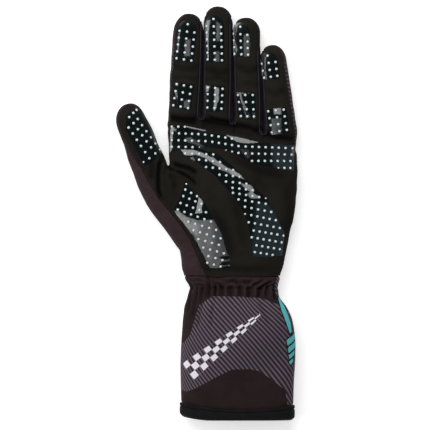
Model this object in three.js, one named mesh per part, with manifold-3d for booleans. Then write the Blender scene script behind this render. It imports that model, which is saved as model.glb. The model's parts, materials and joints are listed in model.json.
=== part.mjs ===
// A long-cuffed karting glove for the left hand, lying on its back with the palm up.
// Millimetres, +Z up. The fingers point along +Y, the cuff opens along -Y and the thumb is on the -X side.
// The glove is hollow: a suede palm panel and a stretch back panel are sewn together round the hand, with a
// sidewall strip between each two fingers. A gathered cuff with a hem band follows below the wrist seam, and
// thin silicone grips are printed on the palm.
import * as THREE from "three";
import { mergeVertices } from "three/addons/utils/BufferGeometryUtils.js";
import Module from "manifold-3d";

const wasm = await Module();
wasm.setup();

// Driving sizes

const palmWidth = 98.2; // across the knuckles
const palmLength = 120; // from the wrist seam to the gap between index and middle finger
const palmDepth = 21; // thickness of the empty hand as it lies
const knuckleDrop = 26; // how much lower the little finger's knuckle sits than the index's
const wristWidth = 71.5; // at the wrist seam
const wristDepth = 19;
const cuffWidth = 85.6;
const cuffShift = 4.4; // the cuff's middle lies this far towards the little finger
const cuffLength = 95.6; // from the wrist seam to the hem band
const cuffDepth = 26;
const elasticPinch = 3.8; // how far the elastic draws each side in
const hemHeight = 11.6;
const hemProud = 0.8; // the band stands out of the cuff by this much

const indexLength = 76.7; // each finger's length is measured from the gap beside it
const middleLength = 85.5;
const ringLength = 81.5;
const littleLength = 64.5;
const fingerDepth = 15.5;
const fingerGap = 0.7; // between neighbouring fingers
const thumbLength = 124; // from deep in the palm to the tip
const thumbWidth = 31.5; // at its root
const thumbDepth = 18.5;

const panelWall = 1.2; // suede and stretch fabric
const cuffWall = 1.2;
const gripFilm = 0.6;
const seamGap = 0.3; // left between pieces that meet
const seamHeight = 9; // the palm panel's edge on the outer sides of the hand
const sidewallShow = 2.6; // a sidewall strip shows this wide beside each gap
const sidewallFoot = 4.5; // the height at which a sidewall strip meets the back panel

const gatherCount = 20;
const gatherDepth = 1.0;
const gatherReach = 7.5; // how far the gathers run out above and below the elastic

// How finely the round shapes are faceted

const handSides = 28;
const fingerSides = 12;
const thumbSides = 14;
const cuffSides = 36;
const gatherSides = gatherCount * 4;
const insideSides = 0.7; // the hollow's share of an outer surface's sides

// What follows from the driving sizes

const palmHalf = palmWidth / 2;
const wristHalf = wristWidth / 2;
const thumbHalf = thumbWidth / 2;
const cuffReachLeft = cuffWidth / 2 - cuffShift;
const cuffReachRight = cuffWidth / 2 + cuffShift;

// The hand, from the wrist seam up to the gaps between the fingers. up is a share of the palm length.
// left, right and rise go from 0, the wrist's width and depth, to 1, the palm's. tilt is the share of the
// knuckle drop that the row follows.
const handRows = [
  { up: 0.0, left: 0.0, right: 0.0, rise: 0.0, tilt: 0.0 },
  { up: 0.063, left: 0.15, right: 0.22, rise: 0.2, tilt: 0.0 },
  { up: 0.163, left: 0.25, right: 0.41, rise: 0.55, tilt: 0.0 },
  { up: 0.288, left: 0.4, right: 0.64, rise: 0.85, tilt: 0.0 },
  { up: 0.381, left: 0.5, right: 0.82, rise: 1.0, tilt: 0.0 },
  { up: 0.475, left: 0.62, right: 0.93, rise: 1.05, tilt: 0.0 },
  { up: 0.6, left: 0.77, right: 0.98, rise: 1.0, tilt: 0.0 },
  { up: 0.71, left: 0.87, right: 1.0, rise: 0.8, tilt: 0.25 },
  { up: 0.79, left: 0.93, right: 1.0, rise: 0.3, tilt: 0.55 },
  { up: 0.87, left: 0.97, right: 1.0, rise: -0.4, tilt: 0.85 },
  { up: 0.93, left: 0.99, right: 1.0, rise: -1.1, tilt: 1.0 },
  { up: 0.97, left: 1.0, right: 1.0, rise: -2.0, tilt: 1.0 },
  { up: 0.993, left: 0.9, right: 0.9, rise: -3.5, tilt: 1.0 },
];
const handSquareness = 2.7;

// Soft dents across the palm side of the hand. left and right are heights on the two edges as shares of the
// palm length, deep and broad are shares of the palm depth.
const palmFolds = [
  { left: 0.985, right: 0.86, deep: 0.07, broad: 0.22 },
  { left: 0.62, right: 0.5, deep: 0.05, broad: 0.35 },
];

// The lines between the fingers' lanes, as shares of half the palm width, at the fingers' roots and tips.
const laneLines = [
  { root: -1.0, tip: -0.875 },
  { root: -0.451, tip: -0.429 },
  { root: 0.022, tip: 0.006 },
  { root: 0.47, tip: 0.425 },
  { root: 1.0, tip: 0.8 },
];

// The four fingers. gap is the height of the gap beside each finger as a share of the palm length. The grips
// are given from and to shares of the finger's length, and left and right shares of half its width.
const fingers = [
  {
    name: "index",
    gap: 1.0,
    length: indexLength,
    depth: 1.0,
    tipGrip: { from: 0.52, to: 0.925, left: -0.76, right: 0.46 },
    baseGrip: { from: 0.062, to: 0.325, left: -0.76, right: 0.46 },
  },
  {
    name: "middle",
    gap: 0.972,
    length: middleLength,
    depth: 1.03,
    tipGrip: { from: 0.505, to: 0.905, left: -0.84, right: 0.44 },
    baseGrip: { from: 0.07, to: 0.305, left: -0.86, right: 0.42 },
  },
  {
    name: "ring",
    gap: 0.935,
    length: ringLength,
    depth: 1.0,
    tipGrip: { from: 0.615, to: 0.935, left: -0.92, right: 0.28 },
    baseGrip: { from: 0.07, to: 0.325, left: -0.72, right: 0.5 },
  },
  {
    name: "little",
    gap: 0.906,
    length: littleLength,
    depth: 0.94,
    tipGrip: { from: 0.6, to: 0.92, left: -0.9, right: 0.38 },
    baseGrip: { from: -0.03, to: 0.28, left: -0.66, right: 0.5 },
  },
];
const fingerRootDepth = 1.08; // share of the finger depth, where a finger leaves the hand
const fingerSink = 0.16; // a finger's tube runs this share of the palm length into the hand
const sunkInset = 2; // and narrows by this much on each side as it does
const fingerSquareness = 2.25;
const noseLength = 0.74; // a fingertip's rounding, as a share of the finger's width
const noseSquareness = 2.3;
const noseShares = [1, 0.65, 0.35, 0.13, 0.02];

// The thumb, from deep in the palm to the tip. along is a share of the thumb's length, side and rise place its
// middle from the wrist seam as shares of the palm width and palm length, wide and deep are shares of its
// width and depth, and seam is where the palm panel ends, as a share of half its width.
const thumbRows = [
  { side: -0.257, rise: 0.15, wide: 0.67, deep: 0.95, seam: -0.2 },
  { side: -0.312, rise: 0.25, wide: 0.86, deep: 1.02, seam: -0.14 },
  { side: -0.404, rise: 0.378, wide: 0.95, deep: 1.05, seam: -0.27 },
  { side: -0.495, rise: 0.484, wide: 1.0, deep: 1.0, seam: -0.37 },
  { side: -0.563, rise: 0.578, wide: 0.95, deep: 0.95, seam: -0.44 },
  { side: -0.606, rise: 0.642, wide: 0.89, deep: 0.92, seam: -0.51 },
  { side: -0.654, rise: 0.728, wide: 0.83, deep: 0.89, seam: -0.63 },
  { side: -0.698, rise: 0.824, wide: 0.78, deep: 0.87, seam: -0.77 },
  { side: -0.733, rise: 0.898, wide: 0.76, deep: 0.85, seam: -0.84 },
  { side: -0.77, rise: 0.969, wide: 0.74, deep: 0.83, seam: -0.95 },
  { side: -0.797, rise: 1.075, wide: 0.7, deep: 0.8, seam: -1.3 },
];

// The cuff, down from the wrist seam. down is a share of the cuff length. pinch is the share of the elastic's
// pull on each side, and flare and rise go from 0, the wrist's width and depth, to 1, the cuff's.
const cuffRows = [
  { down: 0.0, pinchLeft: 0.0, pinchRight: 0.0, flareLeft: 0.0, flareRight: 0.0, rise: 0.0 },
  { down: 0.047, pinchLeft: 0.6, pinchRight: 0.25, flareLeft: 0.0, flareRight: 0.0, rise: -0.12 },
  { down: 0.094, pinchLeft: 1.0, pinchRight: 0.25, flareLeft: 0.0, flareRight: 0.0, rise: -0.25 },
  { down: 0.165, pinchLeft: 0.6, pinchRight: 0.05, flareLeft: 0.0, flareRight: 0.0, rise: -0.05 },
  { down: 0.243, pinchLeft: 0.05, pinchRight: 0.0, flareLeft: 0.0, flareRight: 0.45, rise: 0.35 },
  { down: 0.322, pinchLeft: 0.0, pinchRight: 0.0, flareLeft: 0.36, flareRight: 0.77, rise: 0.6 },
  { down: 0.4, pinchLeft: 0.0, pinchRight: 0.0, flareLeft: 0.6, flareRight: 0.93, rise: 0.8 },
  { down: 0.51, pinchLeft: 0.0, pinchRight: 0.0, flareLeft: 0.87, flareRight: 1.03, rise: 0.95 },
  { down: 0.66, pinchLeft: 0.0, pinchRight: 0.0, flareLeft: 1.0, flareRight: 1.0, rise: 1.0 },
  { down: 0.816, pinchLeft: 0.0, pinchRight: 0.0, flareLeft: 0.97, flareRight: 0.92, rise: 1.0 },
  { down: 1.0, pinchLeft: 0.0, pinchRight: 0.0, flareLeft: 0.88, flareRight: 0.89, rise: 0.97 },
];
const elasticDown = 0.094; // where the elastic runs, as a share of the cuff length
const gatherEnd = 0.243; // the row at which the finely faceted gathers give way to the plain cuff
const cuffSquareness = 2.6;

// The hem band, up from its lower edge. A stitched line runs round it at half its height.
const hemRows = [
  { up: 0.0, proud: 0.4 },
  { up: 0.08, proud: 1.0 },
  { up: 0.45, proud: 1.0 },
  { up: 0.51, proud: 0.6 },
  { up: 0.57, proud: 1.0 },
  { up: 0.93, proud: 1.0 },
  { up: 1.0, proud: 0.4 },
];

// The grip across the palm: one print that forks behind the index finger. x is a share of half the palm width
// and y a share of the palm length, from the wrist seam.
const palmGripOutline = [
  { x: -0.935, y: 0.94 },
  { x: -0.69, y: 0.933 },
  { x: -0.37, y: 0.914 },
  { x: -0.146, y: 0.887 },
  { x: 0.04, y: 0.85 },
  { x: 0.3, y: 0.828 },
  { x: 0.94, y: 0.818 },
  { x: 0.95, y: 0.641 },
  { x: 0.67, y: 0.656 },
  { x: 0.54, y: 0.685 },
  { x: 0.306, y: 0.707 },
  { x: 0.086, y: 0.756 },
  { x: -0.117, y: 0.781 },
  { x: -0.42, y: 0.824 },
  { x: -0.19, y: 0.769 },
  { x: -0.01, y: 0.703 },
  { x: 0.171, y: 0.628 },
  { x: 0.306, y: 0.557 },
  { x: 0.51, y: 0.493 },
  { x: 0.645, y: 0.429 },
  { x: 0.757, y: 0.319 },
  { x: 0.8, y: 0.24 },
  { x: 0.757, y: 0.131 },
  { x: 0.328, y: 0.118 },
  { x: 0.26, y: 0.292 },
  { x: 0.171, y: 0.429 },
  { x: 0.035, y: 0.511 },
  { x: -0.123, y: 0.575 },
  { x: -0.417, y: 0.671 },
  { x: -0.6, y: 0.708 },
  { x: -0.74, y: 0.74 },
  { x: -0.79, y: 0.772 },
  { x: -0.935, y: 0.775 },
];

// The grip on the heel of the thumb, in the same shares.
const heelGripOutline = [
  { x: -0.725, y: 0.587 },
  { x: -0.65, y: 0.548 },
  { x: -0.52, y: 0.508 },
  { x: -0.434, y: 0.478 },
  { x: -0.35, y: 0.425 },
  { x: -0.282, y: 0.354 },
  { x: -0.195, y: 0.298 },
  { x: -0.109, y: 0.205 },
  { x: -0.066, y: 0.126 },
  { x: -0.069, y: 0.06 },
  { x: -0.325, y: 0.052 },
  { x: -0.391, y: 0.078 },
  { x: -0.412, y: 0.104 },
  { x: -0.455, y: 0.175 },
  { x: -0.542, y: 0.236 },
  { x: -0.649, y: 0.306 },
  { x: -0.8, y: 0.367 },
  { x: -0.897, y: 0.411 },
  { x: -0.843, y: 0.451 },
  { x: -0.778, y: 0.513 },
];

// The thumb's grip, as shares of the thumb's length from its root and of half its width.
const thumbGripOutline = [
  { along: 0.97, across: 0.12 },
  { along: 0.945, across: -0.45 },
  { along: 0.86, across: -0.55 },
  { along: 0.6, across: -0.36 },
  { along: 0.565, across: -0.02 },
  { along: 0.575, across: 1.5 },
  { along: 0.88, across: 1.5 },
  { along: 0.965, across: 0.75 },
];

// Materials

const finish = (color, roughness) => new THREE.MeshStandardMaterial({ color, roughness, metalness: 0 });
const suede = finish(0x1c1a16, 0.95);
const stretchFabric = finish(0x2a2021, 0.9);
const sidewallFabric = finish(0x1e1a21, 0.9);
const cuffFabric = finish(0x2b2122, 0.88);
const hemFabric = finish(0x121214, 0.85);
const silicone = finish(0x0c1414, 0.25);

// Tables and curves

const mix = (from, to, share) => from + (to - from) * share;

// A column of a table at any place along its key column, on a smooth curve through the rows.
function readRow(rows, key, column, at) {
  const last = rows.length - 1;
  const next = rows.findIndex((row) => row[key] > at);
  if (next <= 0) return next === 0 ? rows[0][column] : rows[last][column];
  const span = rows[next][key] - rows[next - 1][key];
  const share = (at - rows[next - 1][key]) / span;
  const slope = (index) => {
    const low = rows[Math.max(index - 1, 0)];
    const high = rows[Math.min(index + 1, last)];
    return ((high[column] - low[column]) / (high[key] - low[key])) * span;
  };
  const start = rows[next - 1][column];
  const end = rows[next][column];
  const square = share * share;
  const cube = square * share;
  return (
    start * (2 * cube - 3 * square + 1) +
    slope(next - 1) * (cube - 2 * square + share) +
    end * (3 * square - 2 * cube) +
    slope(next) * (cube - square)
  );
}

// Sections

// The hollow is faceted more coarsely than the outside, which never thins the wall.
const sidesOf = (sides, grow) => (grow < 0 ? 2 * Math.round((insideSides * sides) / 2) : sides);

// One ring of a soft tube that lies on a flat surface: round on top, flattened below. Each point has its
// place across the tube and its height.
function softRing({ sides, left, right, top, floor, squareness }) {
  const middle = (left + right) / 2;
  const half = (right - left) / 2;
  const widest = mix(floor, top, 0.44);
  const press = 0.12 * (top - floor); // the underside would reach this far below what it lies on
  const ring = [];
  for (let side = 0; side < sides; side++) {
    const angle = (2 * Math.PI * side) / sides;
    const power = 2 / squareness;
    const out = Math.sign(Math.cos(angle)) * Math.abs(Math.cos(angle)) ** power;
    const lift = Math.abs(Math.sin(angle)) ** power;
    const above = widest + (top - widest) * lift;
    const below = Math.max(widest - (widest - floor + press) * lift, floor);
    ring.push({ across: middle + half * out, height: angle < Math.PI ? above : below, lift });
  }
  return ring;
}

// A closed solid through rings of points, with a point or a flat cap at each end.
function loft(rings, { startAt, endAt } = {}) {
  const sides = rings[0].length;
  const centre = (ring) => ring.reduce((sum, point) => sum.add(point), new THREE.Vector3()).divideScalar(sides);
  const points = [...rings.flat(), startAt ?? centre(rings[0]), endAt ?? centre(rings.at(-1))];
  const start = points.length - 2;
  const end = points.length - 1;
  const lastRing = (rings.length - 1) * sides;
  const index = [];
  for (let side = 0; side < sides; side++) {
    const next = (side + 1) % sides;
    index.push(start, side, next);
    index.push(end, lastRing + next, lastRing + side);
    for (let ring = 0; ring < lastRing; ring += sides) {
      const a = ring + side;
      const b = ring + sides + side;
      const c = ring + sides + next;
      const d = ring + next;
      index.push(a, b, c, a, c, d);
    }
  }
  return solidOf(new THREE.BufferGeometry().setFromPoints(points).setIndex(index));
}

// Solids

function solidOf(geometry) {
  const bare = geometry.clone();
  bare.deleteAttribute("normal");
  bare.deleteAttribute("uv");
  const merged = mergeVertices(bare, 1e-4);
  return new wasm.Manifold(
    new wasm.Mesh({
      numProp: 3,
      vertProperties: merged.attributes.position.array,
      triVerts: new Uint32Array(merged.index.array),
    }),
  );
}

const joinAll = (solids) => solids.reduce((whole, solid) => whole.add(solid));

// The largest body of a solid, without the crumbs that a cut may leave.
function mainBody(solid) {
  const bodies = solid.decompose();
  return bodies.reduce((best, body) => (body.volume() > best.volume() ? body : best));
}

// A plan outline made into an upright block.
function upright(points, low, high) {
  const geometry = new THREE.ExtrudeGeometry(new THREE.Shape(points), {
    depth: high - low,
    bevelEnabled: false,
    curveSegments: 1,
  });
  return solidOf(geometry.translate(0, 0, low));
}

function meshOf(solid, name, material) {
  const data = solid.getMesh();
  const geometry = new THREE.BufferGeometry();
  geometry.setAttribute("position", new THREE.BufferAttribute(data.vertProperties, 3));
  geometry.setIndex(new THREE.BufferAttribute(data.triVerts, 1));
  geometry.computeVertexNormals();
  const mesh = new THREE.Mesh(geometry, material);
  mesh.name = name;
  return mesh;
}

// The hand

// How far the knuckle line has dropped at a place across the palm.
const knuckleFall = (x) => knuckleDrop * ((x / palmHalf + 0.45) / 1.45) ** 2;

// How deep the palm's soft dents are at a point of the palm side.
function foldDepth(x, y) {
  const across = (x / palmHalf + 1) / 2;
  return palmFolds.reduce((sum, fold) => {
    const line = mix(fold.left, fold.right, across) * palmLength;
    const away = (y - line) / (fold.broad * palmDepth);
    return sum + fold.deep * palmDepth * Math.exp(-away * away);
  }, 0);
}

// The hand between wrist seam and finger gaps, grown outwards by grow, or shrunk where it is negative.
function handTube(grow) {
  const rings = handRows.map((row, index) => {
    const atWrist = index === 0;
    const atEnd = index === handRows.length - 1;
    const ring = softRing({
      sides: sidesOf(handSides, grow),
      left: -mix(wristHalf, palmHalf, row.left) - grow,
      right: mix(wristHalf, palmHalf, row.right) + grow,
      top: mix(wristDepth, palmDepth, row.rise) + grow,
      floor: Math.max(-grow, 0),
      squareness: handSquareness,
    });
    return ring.map(({ across, height, lift }) => {
      const level = row.up * palmLength + (atEnd ? grow : 0) - (atWrist ? Math.abs(grow) : 0);
      const y = level - row.tilt * knuckleFall(across);
      const upper = height > palmDepth / 3 ? lift : 0;
      return new THREE.Vector3(across, y, height - upper * foldDepth(across, y));
    });
  });
  return loft(rings);
}

const gapLevel = (finger) => finger.gap * palmLength;

// The lane line to the left of finger number index, at a share of the way from root to tip.
const laneAt = (index, share) => mix(laneLines[index].root, laneLines[index].tip, share) * palmHalf;

// A finger's left edge, right edge and depth at a share of its length.
function fingerSection(index, share) {
  const sunk = Math.max(-share * fingers[index].length, 0) / (fingerSink * palmLength);
  const outside = Math.max(share, 0);
  const edge = (side) => (side === 0 || side === fingers.length ? 0 : fingerGap / 2);
  return {
    left: laneAt(index, outside) + edge(index) + sunkInset * sunk,
    right: laneAt(index + 1, outside) - edge(index + 1) - sunkInset * sunk,
    depth: fingers[index].depth * fingerDepth * mix(fingerRootDepth, 0.93, Math.max(share, 0)),
  };
}

function fingerTube(index, grow) {
  const finger = fingers[index];
  const gap = gapLevel(finger);
  const floor = Math.max(-grow, 0);
  const tip = fingerSection(index, 1);
  const nose = noseLength * (tip.right - tip.left);
  const sunk = gap - fingerSink * palmLength;
  const straight = [0, 0.33, 0.66, 1].map((share) => mix(sunk, gap + finger.length - nose, share));
  const rounded = noseShares.slice(1).map((share) => gap + finger.length - share * nose);
  const rings = [...straight, ...rounded].map((level) => {
    const section = fingerSection(index, (level - gap) / finger.length);
    const left = Math.min((gap + finger.length - level) / nose, 1);
    const round = (1 - (1 - left) ** noseSquareness) ** (1 / noseSquareness);
    const middle = (section.left + section.right) / 2;
    const half = ((section.right - section.left) / 2) * round;
    const thick = section.depth * mix(0.35, 1, round);
    const stretch = 1 + grow / (finger.length + fingerSink * palmLength);
    const y = gap + finger.length + grow - (gap + finger.length - level) * stretch;
    return softRing({
      sides: sidesOf(fingerSides, grow),
      left: middle - half - grow * round,
      right: middle + half + grow * round,
      top: section.depth / 2 + thick / 2 + grow,
      floor: Math.max(section.depth / 2 - thick / 2 - grow, floor),
      squareness: fingerSquareness,
    }).map(({ across, height }) => new THREE.Vector3(across, y, height));
  });
  const end = fingerSection(index, 1);
  const endAt = new THREE.Vector3((end.left + end.right) / 2, gap + finger.length + grow, end.depth / 2);
  return loft(rings, { endAt });
}

// The thumb's middle line, and a place on it: its point, its direction and its row of the table.
const thumbPoints = thumbRows.map(({ side, rise }) => new THREE.Vector2(side * palmWidth, rise * palmLength));
const thumbRoot = thumbPoints[0].clone();
const thumbStretch = thumbLength / new THREE.SplineCurve(thumbPoints).getLength();
const thumbLine = new THREE.SplineCurve(
  thumbPoints.map((point) => point.clone().sub(thumbRoot).multiplyScalar(thumbStretch).add(thumbRoot)),
);

function thumbStation(share) {
  const place = share * (thumbRows.length - 1);
  const low = Math.min(Math.floor(place), thumbRows.length - 2);
  const column = (name) => mix(thumbRows[low][name], thumbRows[low + 1][name], place - low);
  const along = thumbLine.getTangent(share);
  return {
    point: thumbLine.getPoint(share),
    across: new THREE.Vector2(along.y, -along.x),
    half: thumbHalf * column("wide"),
    depth: thumbDepth * column("deep"),
    seam: column("seam"),
  };
}

// A point of the thumb in plan, share of the way to its tip and across as a share of half its width.
function thumbPlan(share, across, out = 0) {
  const station = thumbStation(share);
  return station.point.clone().addScaledVector(station.across, across * station.half + out);
}

function thumbTube(grow) {
  const shares = [0, 0.12, 0.24, 0.36, 0.48, 0.6, 0.74, 0.87, 0.92, 0.96, 0.99];
  const noseStart = 0.87;
  const rings = shares.map((share) => {
    const station = thumbStation(share);
    const left = Math.min((1 - share) / (1 - noseStart), 1);
    const round = (1 - (1 - left) ** noseSquareness) ** (1 / noseSquareness);
    const thick = station.depth * mix(0.35, 1, round);
    const half = station.half * round + grow * round;
    const shift = share > noseStart ? grow * (1 - left) : 0;
    const forward = new THREE.Vector2(-station.across.y, station.across.x);
    return softRing({
      sides: sidesOf(thumbSides, grow),
      left: -half,
      right: half,
      top: station.depth / 2 + thick / 2 + grow,
      floor: Math.max(station.depth / 2 - thick / 2 - grow, Math.max(-grow, 0)),
      squareness: fingerSquareness,
    }).map(({ across, height }) => {
      const plan = station.point.clone().addScaledVector(station.across, across).addScaledVector(forward, shift);
      return new THREE.Vector3(plan.x, plan.y, height);
    });
  });
  const tip = thumbStation(1);
  const forward = new THREE.Vector2(-tip.across.y, tip.across.x);
  const end = tip.point.clone().addScaledVector(forward, grow);
  return loft(rings, { endAt: new THREE.Vector3(end.x, end.y, tip.depth / 2) });
}

// The whole hand as one closed form.
function handForm(grow) {
  const tubes = fingers.map((finger, index) => fingerTube(index, grow));
  return joinAll([handTube(grow), thumbTube(grow), ...tubes]);
}

// Panels

const farOut = 2 * palmWidth;
const farUp = 2 * (palmLength + middleLength);
const above = 3 * palmDepth;

// The space over the palm panel: right of the seam that runs down the thumb's outer side, and above the seam
// on the sides of the hand. out widens it on every side.
function palmSpace(out) {
  const seam = [0, 0.1, 0.2, 0.3, 0.4, 0.5, 0.6, 0.7, 0.8, 0.9, 1].map((share) =>
    thumbPlan(share, thumbStation(share).seam, -out),
  );
  const wrist = new THREE.Vector2(-0.6 * wristHalf - out, -farOut);
  const wristSeam = new THREE.Vector2(-0.6 * wristHalf - out, 0);
  const beyondThumb = thumbPlan(1, -3);
  const outline = [
    wrist,
    wristSeam,
    ...seam,
    beyondThumb,
    new THREE.Vector2(beyondThumb.x, farUp),
    new THREE.Vector2(farOut, farUp),
    new THREE.Vector2(farOut, -farOut),
  ];
  return upright(outline, seamHeight - out, above);
}

// The space of the sidewall strip between finger number index and its right neighbour.
function sidewallSpace(index, out) {
  const half = sidewallShow + out;
  const low = (gapLevel(fingers[index]) + gapLevel(fingers[index + 1])) / 2;
  const tips = [fingers[index], fingers[index + 1]].map((finger) => gapLevel(finger) + finger.length);
  const high = Math.min(...tips) - 1.1 * sidewallShow;
  const share = (level) => (level - low) / (high - low);
  const line = (level) => laneAt(index + 1, share(level));
  const bottom = low - 0.7 * sidewallShow;
  const steps = 5;
  const outline = [];
  for (let step = 0; step <= steps; step++) {
    const angle = Math.PI + (Math.PI * step) / steps;
    outline.push(new THREE.Vector2(line(bottom) + half * Math.cos(angle), bottom + half * Math.sin(angle)));
  }
  outline.push(new THREE.Vector2(line(high) + half, high - sidewallShow));
  outline.push(new THREE.Vector2(line(high) + 0.3 * half, high + out));
  outline.push(new THREE.Vector2(line(high) - 0.3 * half, high + out));
  outline.push(new THREE.Vector2(line(high) - half, high - sidewallShow));
  return upright(outline, sidewallFoot - out, above);
}

const shell = handForm(0).subtract(handForm(-panelWall));
const sidewallPairs = [0, 1, 2];
const sidewallSpaces = joinAll(sidewallPairs.map((index) => sidewallSpace(index, seamGap)));
const palmPanel = mainBody(shell.intersect(palmSpace(0)).subtract(sidewallSpaces));
const backPanel = mainBody(shell.subtract(palmSpace(seamGap)).subtract(sidewallSpaces));
const sidewalls = sidewallPairs.map((index) => mainBody(shell.intersect(sidewallSpace(index, 0))));

// Grips

const filmSpace = handForm(seamGap + gripFilm).subtract(handForm(seamGap));
const gripFloor = seamHeight + gripFilm;

const gripFrom = (outline) => mainBody(filmSpace.intersect(upright(outline, gripFloor, above)));

// A finger grip's outline: square towards the palm, and round towards the tip where rounded is 1.
function fingerGripOutline(index, grip, rounded) {
  const finger = fingers[index];
  const place = (across, along) => {
    const section = fingerSection(index, along);
    const x = mix(section.left, section.right, (across + 1) / 2);
    return new THREE.Vector2(x, gapLevel(finger) + along * finger.length);
  };
  const middle = (grip.left + grip.right) / 2;
  const half = (grip.right - grip.left) / 2;
  const shoulder = mix(grip.to, grip.from, mix(0.04, 0.26, rounded));
  const crown = [-0.9, -0.5, 0, 0.5, 0.9].map((across) => {
    const lift = Math.sqrt(1 - across * across);
    return place(middle + half * across, mix(shoulder, grip.to, lift));
  });
  return [
    place(grip.right, grip.from),
    place(grip.right, shoulder),
    ...crown.reverse(),
    place(grip.left, shoulder),
    place(grip.left, grip.from),
  ];
}

const onPalm = (outline) => outline.map(({ x, y }) => new THREE.Vector2(x * palmHalf, y * palmLength));
const onThumb = thumbGripOutline.map(({ along, across }) => thumbPlan(along, across));

// Cuff and hem

function cuffEdges(down) {
  const read = (column) => readRow(cuffRows, "down", column, down);
  return {
    left: -(wristHalf - elasticPinch * read("pinchLeft") + (cuffReachLeft - wristHalf) * read("flareLeft")),
    right: wristHalf - elasticPinch * read("pinchRight") + (cuffReachRight - wristHalf) * read("flareRight"),
    top: mix(wristDepth, cuffDepth, read("rise")),
  };
}

// One ring of the cuff. The outside is drawn into gathers near the elastic, and the hollow stays inside them.
function cuffRing(down, level, sides, grow) {
  const edges = cuffEdges(down);
  const away = ((down - elasticDown) * cuffLength) / gatherReach;
  const ruffle = gatherDepth * Math.exp(-away * away);
  const inset = grow < 0 ? ruffle : 0;
  const floor = Math.max(-grow, 0);
  const ring = softRing({
    sides: sidesOf(sides, grow),
    left: edges.left - grow + inset,
    right: edges.right + grow - inset,
    top: edges.top + grow - inset,
    floor: floor + inset,
    squareness: cuffSquareness,
  });
  const middle = (edges.left + edges.right) / 2;
  return ring.map(({ across, height }, side) => {
    const wave = (Math.cos((2 * Math.PI * gatherCount * side) / sides) - 1) / 2;
    const pull = grow < 0 ? 0 : ruffle * wave;
    const out = new THREE.Vector2(across - middle, (height - edges.top / 2) * (edges.right / edges.top));
    const x = across + pull * (out.x / out.length());
    const z = height + pull * (out.y / out.length());
    return new THREE.Vector3(x, level, Math.max(z, floor));
  });
}

function cuffTube(grow) {
  const over = Math.max(-grow, 0);
  const gatherShares = [0, 0.035, 0.07, 0.12, 0.17, gatherEnd];
  const plainShares = cuffRows.map((row) => row.down).filter((down) => down > gatherEnd);
  const levelOf = (down) => {
    if (down === 0) return -seamGap + over;
    if (down === 1) return -cuffLength - over;
    return -seamGap - down * (cuffLength - seamGap);
  };
  const tube = (shares, sides) => loft(shares.map((down) => cuffRing(down, levelOf(down), sides, grow)).reverse());
  if (grow < 0) return tube([...gatherShares, ...plainShares], cuffSides);
  return tube(gatherShares, gatherSides).add(tube([gatherEnd, ...plainShares], cuffSides));
}

function hemTube(grow, over) {
  const top = -cuffLength - seamGap + over;
  const bottom = -cuffLength - hemHeight - over;
  const rows = grow > 0 ? hemRows : [hemRows[0], hemRows.at(-1)];
  const ring = ({ up, proud }) => cuffRing(1, mix(bottom, top, up), cuffSides, grow < 0 ? grow : grow * proud);
  return loft(rows.map(ring));
}

const cuff = cuffTube(0).subtract(cuffTube(-cuffWall));
const hemBand = hemTube(hemProud, 0).subtract(hemTube(-cuffWall, 1));

// Assembly

const glove = new THREE.Group();
glove.add(meshOf(palmPanel, "palm_panel", suede));
glove.add(meshOf(backPanel, "back_panel", stretchFabric));
for (const index of sidewallPairs) {
  const name = `sidewall_${fingers[index].name}_${fingers[index + 1].name}`;
  glove.add(meshOf(sidewalls[index], name, sidewallFabric));
}
glove.add(meshOf(cuff, "cuff", cuffFabric));
glove.add(meshOf(hemBand, "hem_band", hemFabric));
glove.add(meshOf(gripFrom(onPalm(palmGripOutline)), "grip_palm", silicone));
glove.add(meshOf(gripFrom(onPalm(heelGripOutline)), "grip_thumb_heel", silicone));
glove.add(meshOf(gripFrom(onThumb), "grip_thumb", silicone));
fingers.forEach((finger, index) => {
  const tip = gripFrom(fingerGripOutline(index, finger.tipGrip, 1));
  const base = gripFrom(fingerGripOutline(index, finger.baseGrip, 0));
  glove.add(meshOf(tip, `grip_${finger.name}_tip`, silicone));
  glove.add(meshOf(base, `grip_${finger.name}_base`, silicone));
});

// The part's origin is the middle of its base.
const part = new THREE.Group();
const extent = new THREE.Box3().setFromObject(glove);
const middle = extent.getCenter(new THREE.Vector3());
glove.position.set(-middle.x, -middle.y, -extent.min.z);
part.add(glove);

export default part;
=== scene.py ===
"""The looks of a left-hand karting glove that lies palm up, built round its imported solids.

The glove's forms are worked out in millimetres from the middle of the wrist seam, with the fingers along +Y
and the palm facing +Z, and are moved into the row frame at the end. Places read off the photograph are given
in its pixels and turned into millimetres by spot().
"""

import json
import logging
import math
from dataclasses import dataclass, field
from enum import Enum
from typing import Callable, Sequence

import bmesh
import bpy
import numpy as np
from mathutils import Matrix, Vector
from mathutils.bvhtree import BVHTree

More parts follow.
